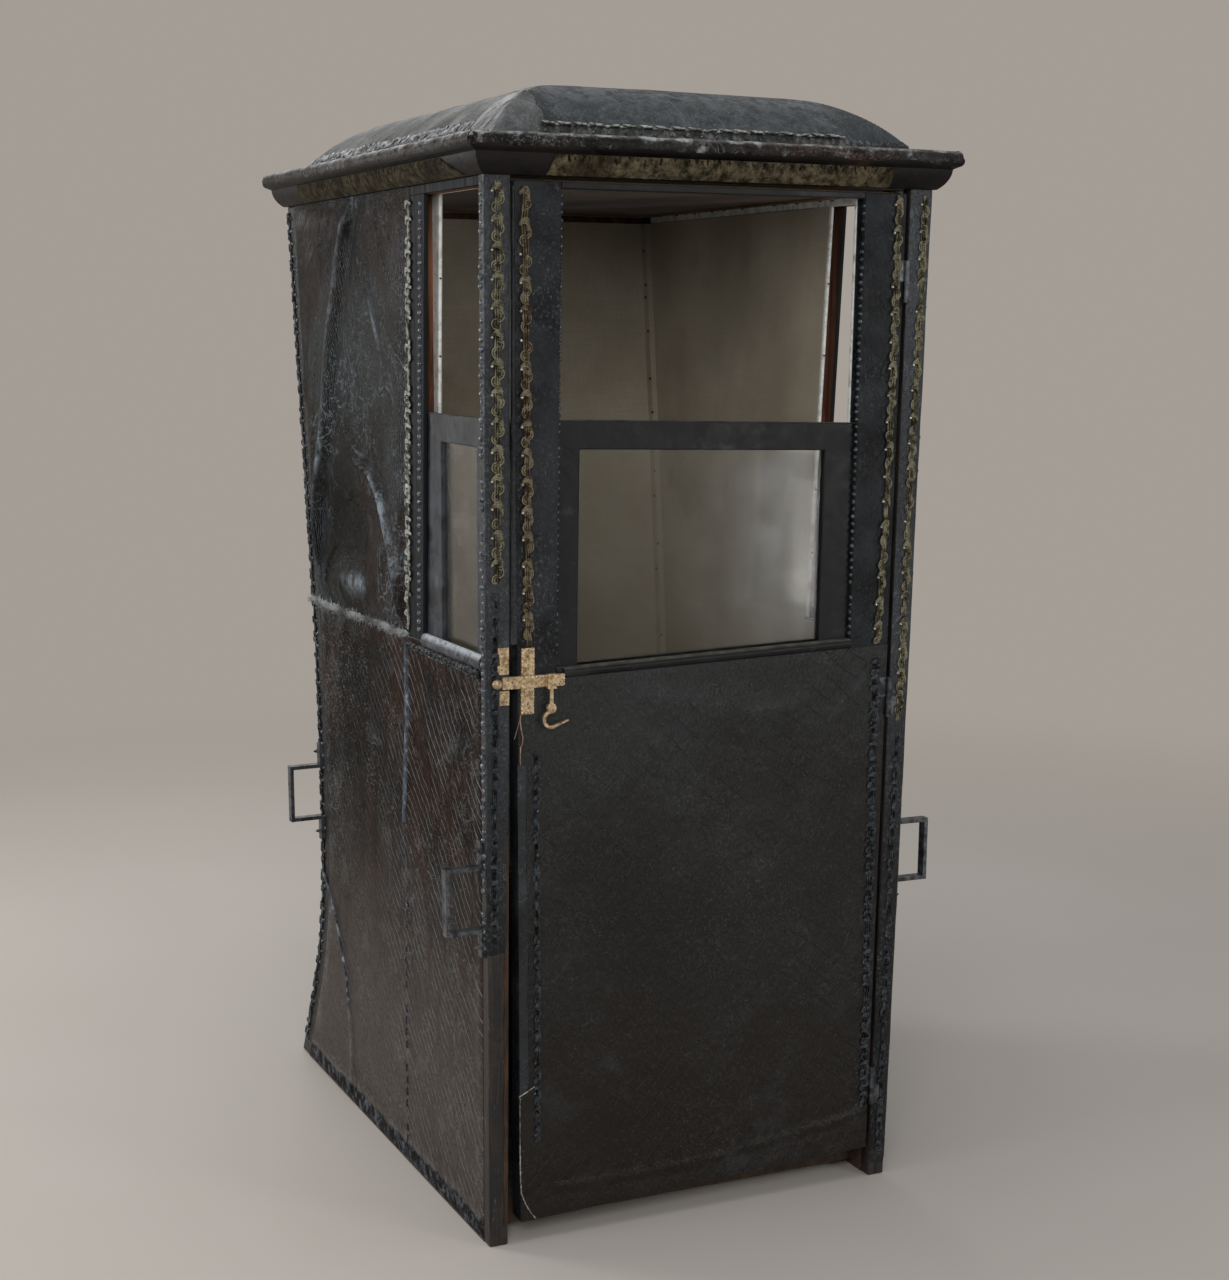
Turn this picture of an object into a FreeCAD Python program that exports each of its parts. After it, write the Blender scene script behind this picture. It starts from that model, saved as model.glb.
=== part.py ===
"""Sedan chair: a leather-covered cabin carried on two poles, with a front door and a lifting roof.

Frame: +Z up, -Y is the front with the door, +X is on the right of someone who faces that front.
The origin is on the ground at the middle of the outline. Walls are flat but lean: the front leans
forward, the sides widen upwards, and the back slopes in to a waist and flares out at its foot.
So that neighbours seat exactly, every straight piece is a wedge whose four upright faces are given
as places that change with height, and curved pieces are an outline cut by such a wedge.
"""
import FreeCAD, Part
import os
import re
import Sketcher

V = FreeCAD.Vector
doc = FreeCAD.newDocument("SedanChair")

# ---------------------------------------------------------------- sizes, mm: name, value, meaning
SIZES = [
    ("WallHeight", 1500, "ground to the top of the walls"),
    ("WidthTop", 691, "outside width at the top of the walls"),
    ("WidthFoot", 658, "outside width at the ground"),
    ("DepthTop", 912, "outside depth at the top of the walls"),
    ("FrontLean", 41, "how far the front's foot stands behind its top"),
    ("RearKick", 53, "how far the back's foot stands behind its top"),
    ("FlareRise", 150, "height of the straight flare at the back's foot"),
    ("FlareIn", 84, "how far the flare comes in over that height"),
    ("FlareRadius", 600, "curve from the flare to the waist"),
    ("WaistHeight", 420, "height of the back's waist"),
    ("WaistIn", 154, "how far the waist stands in front of the foot"),
    ("WaistRadius", 3200, "curve from the waist to the straight back"),
    ("BeltHeight", 845, "height of the sill line between the lower and upper walls"),
    ("RearRake", 85, "how far the back at the belt stands in front of its top"),
    ("WallThick", 28, "thickness of the side walls"),
    ("BackThick", 22, "thickness of the back wall"),
    ("PostWideTop", 36, "front post width at the top"),
    ("PostWideFoot", 28, "front post width at the ground"),
    ("PostDeep", 22, "front post depth"),
    ("RearPostWide", 38, "rear post width"),
    ("RearPostDeep", 40, "rear post depth"),
    ("TopRail", 13, "height of the rails over the side windows"),
    ("RearTopRail", 34, "height of the rail at the top of the back"),
    ("RailWide", 30, "thickness of the bottom rails"),
    ("RailHigh", 45, "height of the side and rear bottom rails"),
    ("FrontRailLift", 16, "underside of the front bottom rail"),
    ("FloorThick", 12, "floor board thickness"),
    ("SeatHeight", 430, "underside of the seat board"),
    ("SeatThick", 18, "seat board thickness"),
    ("SeatFront", -42, "front edge of the seat board"),
    ("RiserSetback", 12, "how far the seat riser stands behind the seat's edge"),
    ("RiserThick", 16, "seat riser thickness"),
    ("WindowTop", 233, "side window, front face to its rear jamb at the wall top"),
    ("WindowSill", 256, "the same at the belt"),
    ("JambWide", 58, "width of the jamb post behind the side window"),
    ("SashThick", 14, "window sash thickness"),
    ("SashPlay", 1, "clearance all round a sash in its channel"),
    ("SashInset", 7, "cheek between the outer face and a side sash channel"),
    ("SashGroove", 7, "how deep the front post is grooved for the sash"),
    ("SideSashWide", 245, "side sash width"),
    ("SashTall", 640, "height of every sash"),
    ("SashRail", 40, "sash top rail"),
    ("SashFoot", 50, "sash bottom rail"),
    ("SideStileFront", 40, "side sash front stile"),
    ("SideStileRear", 65, "side sash rear stile"),
    ("ChannelBelow", 10, "how far a sash channel runs on below its sash"),
    ("SideSillTop", 12, "top of the side window's sill above the belt"),
    ("SideSillDrop", 8, "underside of that sill below the belt"),
    ("SideSillFlat", 4, "flat top of that sill"),
    ("SideSillRadius", 12.6, "radius of that sill's round nose"),
    ("SashTopLeft", 1180, "height of the left sash's top edge"),
    ("SashTopRight", 1100, "height of the right sash's top edge"),
    ("GlassThick", 3, "window glass thickness"),
    ("DoorThick", 32, "door thickness"),
    ("DoorGap", 5, "gap beside the door at its hinge side"),
    ("DoorTopGap", 6, "gap over the door"),
    ("DoorLeftFoot", 281, "the door's free edge at the ground, from the middle"),
    ("DoorDropLeft", 30, "the door's bottom edge above the ground, free side"),
    ("DoorDropRight", 48, "the same, hinge side"),
    ("DoorWindowHalf", 235, "half the door window's width"),
    ("DoorSillLeft", 823, "height of the lower door panel, free side"),
    ("DoorSillRight", 837, "the same, hinge side"),
    ("DoorSillTall", 14, "height of the door's sill moulding"),
    ("DoorSillNose", 6, "how far the sill's round nose stands out"),
    ("DoorTopRail", 9, "height of the rail over the door window"),
    ("DoorBottomRail", 60, "height of the door's bottom rail"),
    ("DoorSashInset", 8, "cheek in front of the door sash channel"),
    ("DoorSashHold", 11, "how far the door sash is held in each stile"),
    ("DoorSashTopLeft", 1178, "top edge of the door sash, free side"),
    ("DoorSashTopRight", 1167, "the same, hinge side"),
    ("DoorStileLeft", 46, "door sash stile, free side"),
    ("DoorStileRight", 60, "door sash stile, hinge side"),
    ("CorniceOut", 33, "the cornice bead beyond the wall face"),
    ("HollowStart", 5, "foot of the cornice's hollow beyond the wall face"),
    ("HollowOut", 21, "top of the hollow beyond the wall face"),
    ("HollowRise", 28, "height of the hollow"),
    ("HollowRadius", 38, "radius of the hollow"),
    ("BeadLow", 31, "underside of the bead above the wall top"),
    ("BeadTall", 16, "height of the bead"),
    ("BeadRadius", 8.2, "radius of the bead"),
    ("CorniceHeight", 53, "wall top to the foot of the dome"),
    ("CorniceIn", 32, "the cornice ring inside the wall face"),
    ("DomeInset", 21, "foot of the dome inside the wall face"),
    ("DomeThick", 12, "dome shell thickness"),
    ("EaveRun", 125, "run of the dome's rounded edge"),
    ("EaveRise", 80, "rise of the dome's rounded edge"),
    ("EaveRadius", 200, "radius of the dome's rounded edge"),
    ("CrownRise", 20, "rise of the crown above the rounded edge"),
    ("CeilingThick", 6, "ceiling board thickness"),
    ("StapleOut", 58, "pole staple, how far it stands out"),
    ("StapleTall", 96, "pole staple, outside height of its loop"),
    ("StapleIron", 6, "pole staple, thickness of the iron"),
    ("StapleStrap", 15, "pole staple, width of the strap"),
    ("StapleFoot", 36, "pole staple, length of each flange"),
    ("StapleHeight", 514, "height of the middle of the pole staples"),
    ("StapleFront", 19, "front staples behind the front face"),
    ("StapleRear", 12, "rear staples before the rear face"),
    ("BoltWide", 12, "staple bolt head width"),
    ("BoltTall", 8, "staple bolt head height"),
    ("KnuckleRadius", 4, "hinge barrel radius"),
    ("KnuckleLong", 30, "length of one hinge barrel"),
    ("LeafWide", 17, "hinge leaf width"),
    ("LeafThick", 2, "hinge leaf thickness"),
    ("LeafEdge", 0.7, "edge of a hinge leaf from the line of the pins"),
    ("HingeGap", 0.3, "running clearance in the hinges"),
    ("HingeLow", 150, "height of the lowest door hinge"),
    ("HingeMiddle", 760, "height of the middle door hinge"),
    ("HingeHigh", 1370, "height of the highest door hinge"),
    ("LidHingeAt", 200, "roof hinges from the middle"),
    ("LidHingeGap", 2, "gap between a roof hinge's barrel and the wall or the wall top"),
    ("LidLeafTall", 45, "roof hinge leaf down the back wall"),
    ("LidLeafThick", 3.5, "its thickness"),
    ("LidStrapUp", 12, "how far the roof hinge's strap goes up into the cornice"),
    ("LidStrapIn", 2, "front face of that strap before the pins"),
    ("LatchHeight", 822, "middle of the latch"),
    ("LatchPlateAt", 279, "middle of the latch's cross plate from the chair's middle"),
    ("LatchPlateWide", 20, "width of the cross plate"),
    ("LatchPlateTall", 93, "height of the cross plate"),
    ("LatchPlateThick", 2, "thickness of the cross plate"),
    ("LatchBarStart", 318, "keeper end of the bar from the chair's middle"),
    ("LatchBarEnd", 226, "hook end of the bar from the chair's middle"),
    ("LatchBarTall", 17, "height of the bar"),
    ("LatchBarOut", 7, "front of the bar before the door"),
    ("HookAt", 247, "middle of the hook from the chair's middle"),
    ("HookBossWide", 13, "width of the boss that the hook turns in"),
    ("HookBossTall", 21, "height of the boss"),
    ("HookBossOut", 14, "front of the boss before the door"),
    ("HookDrop", 38, "the hook's button below the latch's middle"),
    ("HookLeverWide", 5, "width of the lever between boss and button"),
    ("HookLeverThick", 3, "its thickness"),
    ("HookOut", 10.5, "middle of the lever and the hook before the door"),
    ("HookButtonRadius", 7, "radius of the button"),
    ("HookButtonThick", 5, "thickness of the button"),
    ("HookCurl", 11, "radius of the hook's curl"),
    ("HookIron", 2.2, "half the thickness of the hook"),
    ("HookTip", 24, "length of the hook's tip"),
    ("HookTipEnd", 0.8, "half the width of the tip's end"),
    ("HookTipTurn", 16, "angle on the curl where the tip starts"),
    ("HookTipRise", 20, "angle at which the tip rises"),
    ("KeeperUpperAt", 317, "middle of the upper keeper plate from the chair's middle"),
    ("KeeperUpperWide", 20, "its width"),
    ("KeeperUpperTall", 37, "its height"),
    ("KeeperLowerAt", 313, "middle of the lower keeper plate from the chair's middle"),
    ("KeeperLowerWide", 14, "its width"),
    ("KeeperLowerTall", 20, "its height"),
    ("KeeperGap", 11.5, "each keeper plate from the latch's middle"),
    ("KeeperThick", 1.5, "thickness of both plates"),
    ("BallAt", 327, "the keeper's ball from the chair's middle"),
    ("BallRadius", 7, "its radius"),
    ("StemRadius", 3, "radius of the ball's stem"),
    ("StemLong", 10, "length of the ball's stem"),
    ("Hairline", 0.1, "play that keeps two curved faces from sharing an edge"),
]
sheet = doc.addObject("Spreadsheet::Sheet", "Sizes")
for row, (alias, value, meaning) in enumerate(SIZES, start=1):
    sheet.set("A%d" % row, alias)
    sheet.set("B%d" % row, str(value))
    sheet.set("C%d" % row, meaning)
    sheet.setAlias("B%d" % row, alias)
doc.recompute()

SIZE_NAMES = re.compile(r"\b(%s)\b" % "|".join(alias for alias, value, meaning in SIZES))


def bound(text):
    """The expression with each size's name turned into its cell."""
    return SIZE_NAMES.sub(r"Sizes.\1", str(text))


def value(text):
    result = sheet.evalExpression(bound(text))
    return float(getattr(result, "Value", result))


def bind(thing, **properties):
    for name, text in properties.items():
        thing.setExpression(name.replace("__", "."), bound(text))


# ---------------------------------------------------------------- where the faces are at a height
MID_SHIFT = "(RearKick - CorniceOut) / 2"
FRONT_TOP = "(-DepthTop / 2 - %s)" % MID_SHIFT
REAR_TOP = "(DepthTop / 2 - %s)" % MID_SHIFT
REAR_FOOT = "(%s + RearKick)" % REAR_TOP


def between(foot, top, z):
    """A place that moves evenly from its value on the ground to its value at the wall top."""
    return "(%s + ((%s) - (%s)) * (%s) / WallHeight)" % (foot, top, foot, z)


def side(inset=0):
    """Half the width, less an inset, as a function of the height."""
    return lambda z: "(%s - (%s))" % (between("WidthFoot / 2", "WidthTop / 2", z), inset)


def front(inset=0):
    """The front face, plus an inset to the rear."""
    return lambda z: "(%s + (%s))" % (between("(%s + FrontLean)" % FRONT_TOP, FRONT_TOP, z), inset)


def rear(inset=0):
    """The straight upper back, less an inset to the front."""
    return lambda z: "(%s - (%s) - RearRake * (WallHeight - (%s)) / (WallHeight - BeltHeight))" % (
        REAR_TOP, inset, z)


def flare(inset=0):
    """The straight flare at the back's foot, less an inset to the front."""
    return lambda z: "(%s - (%s) - FlareIn * (%s) / FlareRise)" % (REAR_FOOT, inset, z)


def post_inner(z):
    return "(%s - %s)" % (side()(z), between("PostWideFoot", "PostWideTop", z))


def jamb(inset=0):
    """The rear edge of the side window, plus an inset to the rear."""
    return lambda z: "(%s + WindowSill + (WindowTop - WindowSill) * ((%s) - BeltHeight) / (%s) + (%s))" % (
        front()(z), z, "WallHeight - BeltHeight", inset)


def at(place):
    """The same place at every height."""
    return lambda z: "(%s)" % place


def minus(place):
    return lambda z: "-%s" % place(z)


# ---------------------------------------------------------------- ways of making a piece
def wedge(label, z_low, z_high, x_low, x_high, y_low, y_high):
    """A block between two heights; each of its four upright faces is a place that changes with height."""
    piece = doc.addObject("Part::Wedge", "Wedge")
    piece.Label = label
    piece.Placement = FreeCAD.Placement(V(0, 0, 0), FreeCAD.Rotation(V(1, 0, 0), 90))
    bind(piece, Ymin=z_low, Ymax=z_high, Xmin=x_low(z_low), Xmax=x_high(z_low),
         X2min=x_low(z_high), X2max=x_high(z_high),
         Zmin="-%s" % y_high(z_low), Zmax="-%s" % y_low(z_low),
         Z2min="-%s" % y_high(z_high), Z2max="-%s" % y_low(z_high))
    return piece


def box(label, x, y, z):
    """A block from the low to the high place on each axis."""
    piece = doc.addObject("Part::Box", "Box")
    piece.Label = label
    bind(piece, Length="(%s) - (%s)" % (x[1], x[0]), Width="(%s) - (%s)" % (y[1], y[0]),
         Height="(%s) - (%s)" % (z[1], z[0]), Placement__Base__x=x[0], Placement__Base__y=y[0],
         Placement__Base__z=z[0])
    return piece


def arc_middle(start, end, radius, bulge):
    """The middle of an arc; it bulges to the left of its chord where bulge is 1, else to the right."""
    chord = end - start
    half = chord.Length / 2
    sagitta = radius - (radius ** 2 - half ** 2) ** 0.5
    left = V(-chord.y, chord.x, 0).normalize()
    return (start + end) * 0.5 + left * (sagitta * bulge)


def draw(body, plane, outlines):
    """A sketch of closed outlines. Each row is a corner (across, up) and, for an arc to the next
    corner, its radius and the side it bulges to."""
    sketch = body.newObject("Sketcher::SketchObject", "Outline")
    origin = [face for face in body.Origin.OriginFeatures if face.Role == plane][0]
    sketch.AttachmentSupport = (origin, [""])
    sketch.MapMode = "FlatFace"
    first = 0
    for rows in outlines:
        corners = [V(value(row[0]), value(row[1]), 0) for row in rows]
        following = corners[1:] + corners[:1]
        for start, end, row in zip(corners, following, rows):
            if len(row) > 2:
                middle = arc_middle(start, end, value(row[2]), row[3])
                sketch.addGeometry(Part.Arc(start, middle, end))
            else:
                sketch.addGeometry(Part.LineSegment(start, end))

        def end_at(edge, corner):
            gaps = [(sketch.getPoint(edge, which) - corner).Length for which in (1, 2)]
            return 1 if gaps[0] < gaps[1] else 2

        count = len(rows)
        for step, (corner, row) in enumerate(zip(corners, rows)):
            edge = first + step
            before = first + (step - 1) % count
            joint = (before, end_at(before, corner), edge, end_at(edge, corner))
            sketch.addConstraint(Sketcher.Constraint("Coincident", *joint))
            for kind, text in (("DistanceX", row[0]), ("DistanceY", row[1])):
                number = sketch.addConstraint(
                    Sketcher.Constraint(kind, -1, 1, edge, end_at(edge, corner), value(text)))
                name = "%s%d" % (kind, edge)
                sketch.renameConstraint(number, name)
                sketch.setExpression("Constraints." + name, bound(text))
            if len(row) > 2:
                number = sketch.addConstraint(Sketcher.Constraint("Radius", edge, value(row[2])))
                sketch.renameConstraint(number, "Radius%d" % edge)
                sketch.setExpression("Constraints.Radius%d" % edge, bound(row[2]))
        first += count
    return sketch


def plate(label, plane, outlines, thick, symmetric=False, reverse=False):
    """A body padded from closed outlines in one of its own planes."""
    body = doc.addObject("PartDesign::Body", "Body")
    body.Label = label
    pad = body.newObject("PartDesign::Pad", "Pad")
    pad.Profile = draw(body, plane, outlines)
    pad.Midplane = symmetric
    pad.Reversed = reverse
    bind(pad, Length=thick)
    body.Tip = pad
    return body


def joined(label, kind, pieces):
    piece = doc.addObject(kind, "Joined")
    piece.Label = label
    piece.Shapes = pieces
    return piece


def common(label, *pieces):
    return joined(label, "Part::MultiCommon", list(pieces))


def fuse(label, *pieces):
    return joined(label, "Part::MultiFuse", list(pieces))


def cut(label, piece, *tools):
    result = doc.addObject("Part::Cut", "Cut")
    result.Label = label
    result.Base = piece
    result.Tool = tools[0] if len(tools) == 1 else fuse(label + " cutters", *tools)
    return result


def layer(sign, outer, inner):
    """The two faces of a layer in the right (sign 1) or left (-1) wall, given from outside to inside."""
    return (side(inner), side(outer)) if sign > 0 else (minus(side(outer)), minus(side(inner)))


def rear_band(label, deep, top):
    """The back's curved profile as a band of one depth, wider than the chair."""
    def row(y, z, *arc):
        return ("%s" % y, z) + arc
    outer = [(REAR_FOOT, "0"), ("%s - FlareIn" % REAR_FOOT, "FlareRise", "FlareRadius", 1),
             ("%s - WaistIn" % REAR_FOOT, "WaistHeight", "WaistRadius", 1),
             ("%s - RearRake" % REAR_TOP, "BeltHeight")]
    inner = [("%s - RearRake - %s" % (REAR_TOP, deep), "BeltHeight", "WaistRadius", -1),
             ("%s - WaistIn - %s" % (REAR_FOOT, deep), "WaistHeight", "FlareRadius", -1),
             ("%s - FlareIn - %s" % (REAR_FOOT, deep), "FlareRise"), ("%s - %s" % (REAR_FOOT, deep), "0")]
    if top != "BeltHeight":
        outer.append((REAR_TOP, top))
        outer.append(("%s - %s" % (REAR_TOP, deep), top))
    return plate(label, "YZ_Plane", [outer + inner], "2 * WidthTop", symmetric=True)


NODES = []


def keep(*pieces):
    NODES.extend(pieces)


SIDES = [("left", -1), ("right", 1)]
WIDE = "DepthTop"

# ---------------------------------------------------------------- posts, walls and windows of the sides
SASH_TOP = {"left": "SashTopLeft", "right": "SashTopRight"}
rear_posts = []


def side_sill(label, sign):
    """The round-nosed sill of a side window, between the front post and the jamb post."""
    face = side()("BeltHeight")
    low = "BeltHeight - SideSillDrop"
    high = "BeltHeight + SideSillTop"
    inner = "(%s - SashInset + SashPlay)" % face
    rows = [(inner, "BeltHeight"), (face, low, "SideSillRadius", -sign),
            ("%s + SideSillFlat" % inner, high), (inner, high)]
    outline = [("%d * (%s)" % (sign, row[0]),) + row[1:] for row in rows]
    bar = plate(label + " profile", "XZ_Plane", [outline], "2 * DepthTop", symmetric=True)
    span = wedge(label + " span", low, high, *layer(sign, "-WallThick", "WallThick"), front("PostDeep"), jamb())
    return common(label, bar, span)


for hand, sign in SIDES:
    top = SASH_TOP[hand]
    slot_outer = "SashInset"
    slot_inner = "(SashInset + SashThick + 2 * SashPlay)"
    sash_front = "(PostDeep - SashGroove + SashPlay)"
    channel = wedge("sash channel " + hand, top + " - SashTall - ChannelBelow", "WallHeight - TopRail",
                    *layer(sign, slot_outer, slot_inner), front("PostDeep - SashGroove"),
                    front(sash_front + " + SideSashWide + SashPlay"))

    x_post = (post_inner, side()) if sign > 0 else (minus(side()), minus(post_inner))
    post = wedge("front post blank " + hand, "0", "WallHeight", *x_post, front(), front("PostDeep"))
    keep(cut("front_post_" + hand, post, channel))

    band = rear_band("rear post band " + hand, "RearPostDeep", "WallHeight")
    strip = wedge("rear post strip " + hand, "0", "WallHeight", *layer(sign, 0, "RearPostWide"),
                  at("-" + WIDE), at(WIDE))
    rear_post = common("rear_post_" + hand, band, strip)
    rear_posts.append(rear_post)
    keep(rear_post)

    deep = "RearPostDeep"
    lower = plate("lower wall outline " + hand, "YZ_Plane", [[
        (front("PostDeep")("0"), "0"), ("%s - %s" % (REAR_FOOT, deep), "0"),
        ("%s - FlareIn - %s" % (REAR_FOOT, deep), "FlareRise", "FlareRadius", 1),
        ("%s - WaistIn - %s" % (REAR_FOOT, deep), "WaistHeight", "WaistRadius", 1),
        ("%s - RearRake - %s" % (REAR_TOP, deep), "BeltHeight"),
        (front("PostDeep")("BeltHeight"), "BeltHeight")]], "2 * WidthTop", symmetric=True)
    wall = wedge("lower wall layer " + hand, "0", "BeltHeight", *layer(sign, 0, "WallThick"),
                 at("-" + WIDE), at(WIDE))
    wall = cut("side panel blank " + hand, common("lower wall " + hand, lower, wall), channel)
    keep(fuse("side_panel_" + hand, wall, side_sill("side sill " + hand, sign)))

    window_top = "WallHeight - TopRail"
    post = wedge("jamb post blank " + hand, "BeltHeight", window_top, *layer(sign, 0, "WallThick"),
                 jamb(), jamb("JambWide"))
    keep(cut("jamb_post_" + hand, post, channel))
    keep(wedge("quarter_panel_" + hand, "BeltHeight", window_top, *layer(sign, 0, "WallThick"),
               jamb("JambWide"), rear("RearPostDeep")))
    keep(wedge("side_top_rail_" + hand, window_top, "WallHeight", *layer(sign, 0, "WallThick"),
               front("PostDeep"), rear("RearPostDeep")))

    sash_layer = layer(sign, slot_outer + " + SashPlay", slot_outer + " + SashPlay + SashThick")
    blank = wedge("sash blank " + hand, top + " - SashTall", top, *sash_layer,
                  front(sash_front), front(sash_front + " + SideSashWide"))
    light_front = front(sash_front + " + SideStileFront")
    light_rear = front(sash_front + " + SideSashWide - SideStileRear")
    light_low = "%s - SashTall + SashFoot" % top
    light_high = "%s - SashRail" % top
    hole = wedge("sash light " + hand, light_low, light_high, *layer(sign, 0, "WallThick"), light_front, light_rear)
    keep(cut("side_sash_" + hand, blank, hole))
    glass_outer = "SashInset + SashPlay + (SashThick - GlassThick) / 2"
    keep(wedge("side_glass_" + hand, light_low, light_high,
               *layer(sign, glass_outer, glass_outer + " + GlassThick"), light_front, light_rear))

# ---------------------------------------------------------------- back, base and seat
between_posts = (minus(side("RearPostWide")), side("RearPostWide"))
inside_walls = (minus(side("WallThick")), side("WallThick"))
strip = wedge("back strip", "0", "BeltHeight", *between_posts, at("-" + WIDE), at(WIDE))
back_lower = common("back_panel_lower", rear_band("back band", "BackThick", "BeltHeight"), strip)
keep(back_lower)
back_top = "WallHeight - RearTopRail"
keep(wedge("back_panel_upper", "BeltHeight", back_top, *between_posts, rear("BackThick"), rear()))
keep(wedge("back_top_rail", back_top, "WallHeight", *between_posts, rear("BackThick"), rear()))

front_rail = "DoorThick + DoorGap"
keep(wedge("front_bottom_rail", "FrontRailLift", "RailHigh + FloorThick", *inside_walls,
           front(front_rail), front(front_rail + " + RailWide")))
keep(wedge("rear_bottom_rail", "0", "RailHigh", *between_posts,
           flare("BackThick + RailWide"), flare("BackThick")))
rails = [wedge("side rail " + hand, "0", "RailHigh", *layer(sign, "WallThick", "WallThick + RailWide"),
               front(front_rail + " + RailWide"), flare("BackThick + RailWide")) for hand, sign in SIDES]
keep(fuse("side_bottom_rails", *rails))
floor = wedge("floor blank", "RailHigh", "RailHigh + FloorThick", *inside_walls,
              front(front_rail + " + RailWide"), flare("BackThick"))
keep(cut("floor_board", floor, *rear_posts))

waist_inner = at("%s - WaistIn - BackThick / 2" % REAR_FOOT)
seat = wedge("seat blank", "SeatHeight", "SeatHeight + SeatThick", *inside_walls,
             at("SeatFront"), waist_inner)
keep(cut("seat_board", seat, back_lower, *rear_posts))
keep(wedge("seat_riser", "RailHigh + FloorThick", "SeatHeight", *inside_walls,
           at("SeatFront + RiserSetback"), at("SeatFront + RiserSetback + RiserThick")))


# ---------------------------------------------------------------- pole staples on the sides
def staple(label):
    """A hat-shaped iron strap with two flanges, held by a bolt with a pyramid head in each."""
    half = "StapleTall / 2"
    iron = "StapleIron"
    end = "%s + StapleFoot" % half
    hat = [("0", "-(%s)" % end), (iron, "-(%s)" % end), (iron, "-(%s)" % half), ("StapleOut", "-(%s)" % half),
           ("StapleOut", half), (iron, half), (iron, end), ("0", end),
           ("0", "%s - %s" % (half, iron)), ("StapleOut - " + iron, "%s - %s" % (half, iron)),
           ("StapleOut - " + iron, "-(%s - %s)" % (half, iron)), ("0", "-(%s - %s)" % (half, iron))]
    body = plate(label, "XZ_Plane", [hat], "StapleStrap", symmetric=True)
    for up in ("-1", "1"):
        middle = "%s * (%s + StapleFoot * 0.6)" % (up, half)
        head = [("-BoltWide / 2", middle + " - BoltWide / 2"), ("BoltWide / 2", middle + " - BoltWide / 2"),
                ("BoltWide / 2", middle + " + BoltWide / 2"), ("-BoltWide / 2", middle + " + BoltWide / 2")]
        bolt = body.newObject("PartDesign::Pad", "Bolt")
        bolt.Profile = draw(body, "YZ_Plane", [head])
        bolt.TaperAngle = -20
        bind(bolt, Length="StapleIron + BoltTall")
        body.Tip = bolt
    return body


WALL_LEAN = value("atan((WidthTop - WidthFoot) / 2 / WallHeight)")
for hand, sign in SIDES:
    for end, y in (("front", front("StapleFront")("StapleHeight")),
                   ("rear", "%s - WaistIn - StapleRear" % REAR_FOOT)):
        body = staple("staple_%s_%s" % (end, hand))
        turn = FreeCAD.Rotation(V(0, 0, 1), 0 if sign > 0 else 180)
        body.Placement = FreeCAD.Placement(V(0, 0, 0), turn * FreeCAD.Rotation(V(0, 1, 0), WALL_LEAN))
        bind(body, Placement__Base__x="%d * %s" % (sign, side()("StapleHeight")), Placement__Base__y=y,
             Placement__Base__z="StapleHeight")
        keep(body)

# ---------------------------------------------------------------- the door, drawn upright and then leant
DOOR_HALF_TOP = "(WidthTop / 2 - PostWideTop - DoorGap)"
DOOR_RIGHT_FOOT = "(WidthFoot / 2 - PostWideFoot - DoorGap)"
DOOR_TOP = "(WallHeight - DoorTopGap)"


def door_left(height):
    return "-%s" % between("DoorLeftFoot", DOOR_HALF_TOP, height)


def door_right(height):
    return between(DOOR_RIGHT_FOOT, DOOR_HALF_TOP, height)


def slope(left, right, half):
    """A height that changes evenly across the door, from one edge of its window to the other."""
    return lambda x: "(%s + (%s - %s) * ((%s) + %s) / (2 * %s))" % (left, right, left, x, half, half)


bottom_edge = slope("DoorDropLeft", "DoorDropRight", "DoorLeftFoot")
sill_edge = slope("DoorSillLeft", "DoorSillRight", "DoorWindowHalf")
sash_edge = slope("DoorSashTopLeft", "DoorSashTopRight", "DoorWindowHalf")


def leant(piece):
    """Leans a piece that was drawn upright into the chair's front."""
    piece.Placement = FreeCAD.Placement(V(0, 0, 0), FreeCAD.Rotation(V(1, 0, 0), 1))
    bind(piece, Placement__Base__y=front()("0"), Placement__Rotation__Angle="atan(FrontLean / WallHeight)")
    return piece


def door_plate(label, outline, thick="DoorThick"):
    return plate(label, "XZ_Plane", [outline], thick, reverse=True)


sash_low = "DoorSashTopRight - SashTall"
half = "DoorWindowHalf"
door_channel_x = ("-(%s + DoorSashHold + SashPlay)" % half, "%s + DoorSashHold + SashPlay" % half)
door_channel = box("door sash channel", door_channel_x,
                   ("DoorSashInset", "DoorSashInset + SashThick + 2 * SashPlay"),
                   (sash_low + " - ChannelBelow", DOOR_TOP + " - DoorTopRail"))


def with_channel(label, piece):
    keep(leant(cut(label, piece, door_channel)))


left_foot = "-DoorLeftFoot"
with_channel("door_stile_left", door_plate("stile outline left", [
    (door_left("DoorDropLeft"), bottom_edge(left_foot)), ("-" + half, bottom_edge("-" + half)),
    ("-" + half, DOOR_TOP), (door_left(DOOR_TOP), DOOR_TOP)]))
with_channel("door_stile_right", door_plate("stile outline right", [
    (half, bottom_edge(half)), (door_right("DoorDropRight"), bottom_edge(DOOR_RIGHT_FOOT)),
    (door_right(DOOR_TOP), DOOR_TOP), (half, DOOR_TOP)]))
rail = door_plate("door_bottom_rail", [
    ("-" + half, bottom_edge("-" + half)), (half, bottom_edge(half)),
    (half, bottom_edge(half) + " + DoorBottomRail"), ("-" + half, bottom_edge("-" + half) + " + DoorBottomRail")])
keep(leant(rail))
with_channel("door_panel", door_plate("door panel outline", [
    ("-" + half, bottom_edge("-" + half) + " + DoorBottomRail"), (half, bottom_edge(half) + " + DoorBottomRail"),
    (half, "DoorSillRight"), ("-" + half, "DoorSillLeft")]))
rail = door_plate("door_top_rail", [
    ("-" + half, DOOR_TOP + " - DoorTopRail"), (half, DOOR_TOP + " - DoorTopRail"),
    (half, DOOR_TOP), ("-" + half, DOOR_TOP)])
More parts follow.
